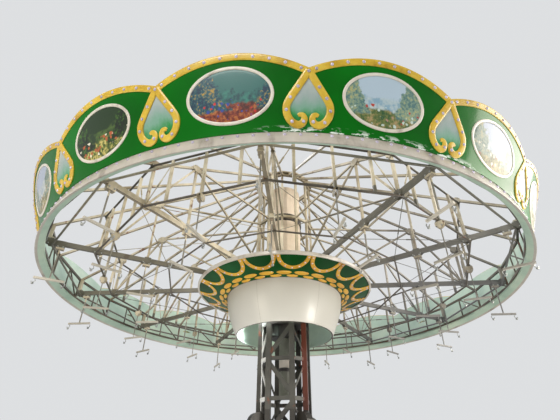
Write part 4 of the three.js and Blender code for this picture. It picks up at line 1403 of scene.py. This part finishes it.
CHEEK_Z, CHEEK_GAP = 5.16, 0.026
CHEEK_SIZE = (0.14, 0.165)
EYE_Z = 5.10
ROD_MIDDLE_Z, ROD_LENGTH = 4.81, 0.54
SPREADER_HALF, SPREADER_WIDTH = 0.25, 0.036


def hanger(radius):
    cheeks = gusset(radius, CHEEK_Z, CHEEK_GAP, *CHEEK_SIZE)
    bpy.ops.object.select_all(action="DESELECT")
    bpy.ops.mesh.primitive_cylinder_add(vertices=12, radius=0.010, depth=ROD_LENGTH,
                                        location=(radius, 0, ROD_MIDDLE_Z))
    rod = named("rod", arm_enamel)
    bpy.ops.object.select_all(action="DESELECT")
    bpy.ops.mesh.primitive_torus_add(major_radius=0.024, minor_radius=0.009, major_segments=20,
                                     minor_segments=8, location=(radius, 0, EYE_Z),
                                     rotation=(math.pi / 2, 0, 0))
    eye = named("eye", arm_enamel)
    spreader = square_tube((radius - SPREADER_HALF, 0, RING_SPREADER_Z),
                           (radius + SPREADER_HALF, 0, RING_SPREADER_Z), SPREADER_WIDTH)
    return joined("hanger", cheeks, rod, eye, spreader)


# %% Posts and a hanger for one bay, repeated round the mast
POST_WIDTH = 0.046
bay_length = 2 * RING_R * math.sin(math.pi / ARMS)
posts = []
for share in (-0.3, 0, 0.3):
    foot = (RING_HANGER_R, share * bay_length, RING_LOW_Z)
    head = (RING_HANGER_R, share * bay_length, RING_HIGH_Z)
    posts.append(square_tube(foot, head, POST_WIDTH))
bays = repeated(joined("bay", hanger(RING_HANGER_R), *posts), "bay", BAY_TURNS)
ring_truss = joined("ring_truss_skin", *bays, low_ring, high_ring)
on_body("rotor", "frame_paint", ring_truss)
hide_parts("ring_truss")
print("ring truss", len(ring_truss.data.polygons), "faces")


# %% [markdown]
# ## Hooks of the hangers
# A chair's chains hang from hooks below the ends of each spreader bar. A hook is bent from a
# round bar, so it is a torus cut open on one side, with a ball below it. A cut torus keeps an
# even thickness all the way, which a bar bent round a former has too.


# %% Hooks and balls, and the bolts of the plates on the arms
HOOK_DROP = 0.045
BALL_DROP = 0.095
HOOK_REACH = 0.235
SPREADER_TO_HOOK = 0.014
PLATE_BOLT_Z = 5.21
PLATE_BOLT_OFF = 0.045


def hook_and_ball(x, z):
    bpy.ops.object.select_all(action="DESELECT")
    bpy.ops.mesh.primitive_torus_add(major_radius=0.032, minor_radius=0.008, major_segments=16,
                                     minor_segments=6, location=(x, 0, z - HOOK_DROP),
                                     rotation=(math.pi / 2, 0, 0))
    ring = named("hook", zinc)
    bpy.ops.object.mode_set(mode="EDIT")
    bpy.ops.mesh.select_all(action="SELECT")
    bpy.ops.mesh.bisect(plane_co=(x + 0.012, 0, z - HOOK_DROP), plane_no=(0.6, 0, 0.8),
                        use_fill=True, clear_outer=True)
    bpy.ops.object.mode_set(mode="OBJECT")
    bpy.ops.object.select_all(action="DESELECT")
    bpy.ops.mesh.primitive_uv_sphere_add(segments=10, ring_count=7, radius=0.024,
                                         location=(x, 0, z - BALL_DROP), scale=(1, 1, 0.85))
    return [ring, named("ball", zinc)]


def hanger_fittings(radius, spreader_z, bolt_sides=()):
    pieces = []
    for dx in (-HOOK_REACH, HOOK_REACH):
        pieces += hook_and_ball(radius + dx, spreader_z - SPREADER_TO_HOOK)
    for side in bolt_sides:
        for dx in (-PLATE_BOLT_OFF, PLATE_BOLT_OFF):
            head = bolt(radius + dx, side * PLATE_BOLT_OFF, PLATE_BOLT_Z, radius=0.016, rise=0.012)
            head.data.materials.append(zinc)
            pieces.append(head)
    return joined("fittings", *pieces)


# %% Two hangers on each arm and one in each bay
arm_hangers = [hanger_fittings(radius, ARM_SPREADER_Z, (-1, 1)) for radius in HANGER_RADII]
arm_fittings = joined("arm_fittings", *arm_hangers)
ring_fittings = hanger_fittings(RING_HANGER_R, RING_SPREADER_Z)
hanger_hooks = joined("hanger_hooks", *repeated(arm_fittings, "arm_fittings", ARM_TURNS),
                      *repeated(ring_fittings, "ring_fittings", BAY_TURNS))
smooth(hanger_hooks)
on_body("rotor", "arm_paint", hanger_hooks)
print("hooks", len(hanger_hooks.data.polygons), "faces")

# %% [markdown]
# ## Bolts of the mast
# The mast is bolted together where its two halves meet, and each foot plate is bolted down at
# four corners. Each bolt is an upright six-sided head, set once and copied round the axis.

# %% Bolts round the mast's joint and on the foot plates
JOINT_Z = 2.22
JOINT_BOLTS = 16
BOLT_CIRCLE_R = 0.555
BASE_REACH = 2.45
FOOT_TOP = 0.0596
FOOT_BOLT_OFF = 0.15
FEET = 4


def upright_bolt(x, y, z, radius=0.02, rise=0.018):
    bpy.ops.object.select_all(action="DESELECT")
    bpy.ops.mesh.primitive_cylinder_add(vertices=6, radius=radius, depth=rise,
                                        location=(x, y, z + rise / 2))
    return shaped(named("bolt", zinc), ("BEVEL", {"width": 0.003, "segments": 1}))


joint_turns = [MAST_DEG + 360 / JOINT_BOLTS * i for i in range(JOINT_BOLTS)]
joint_bolts = repeated(upright_bolt(BOLT_CIRCLE_R, 0, JOINT_Z), "joint_bolt", joint_turns)
offsets = (-FOOT_BOLT_OFF, FOOT_BOLT_OFF)
foot_bolts = [upright_bolt(BASE_REACH + dx, dy, FOOT_TOP, radius=0.024, rise=0.03)
              for dx in offsets for dy in offsets]
foot_bolts = joined("foot_bolts", *foot_bolts)
foot_turns = [MAST_DEG + 360 / FEET * (i + 0.5) for i in range(FEET)]
foot_bolts = repeated(foot_bolts, "foot_bolt", foot_turns)
mast_bolts = joined("mast_bolts", *joint_bolts, *foot_bolts)
on_body("mast", "mast_paint", mast_bolts)
print("mast bolts", len(mast_bolts.data.polygons), "faces")
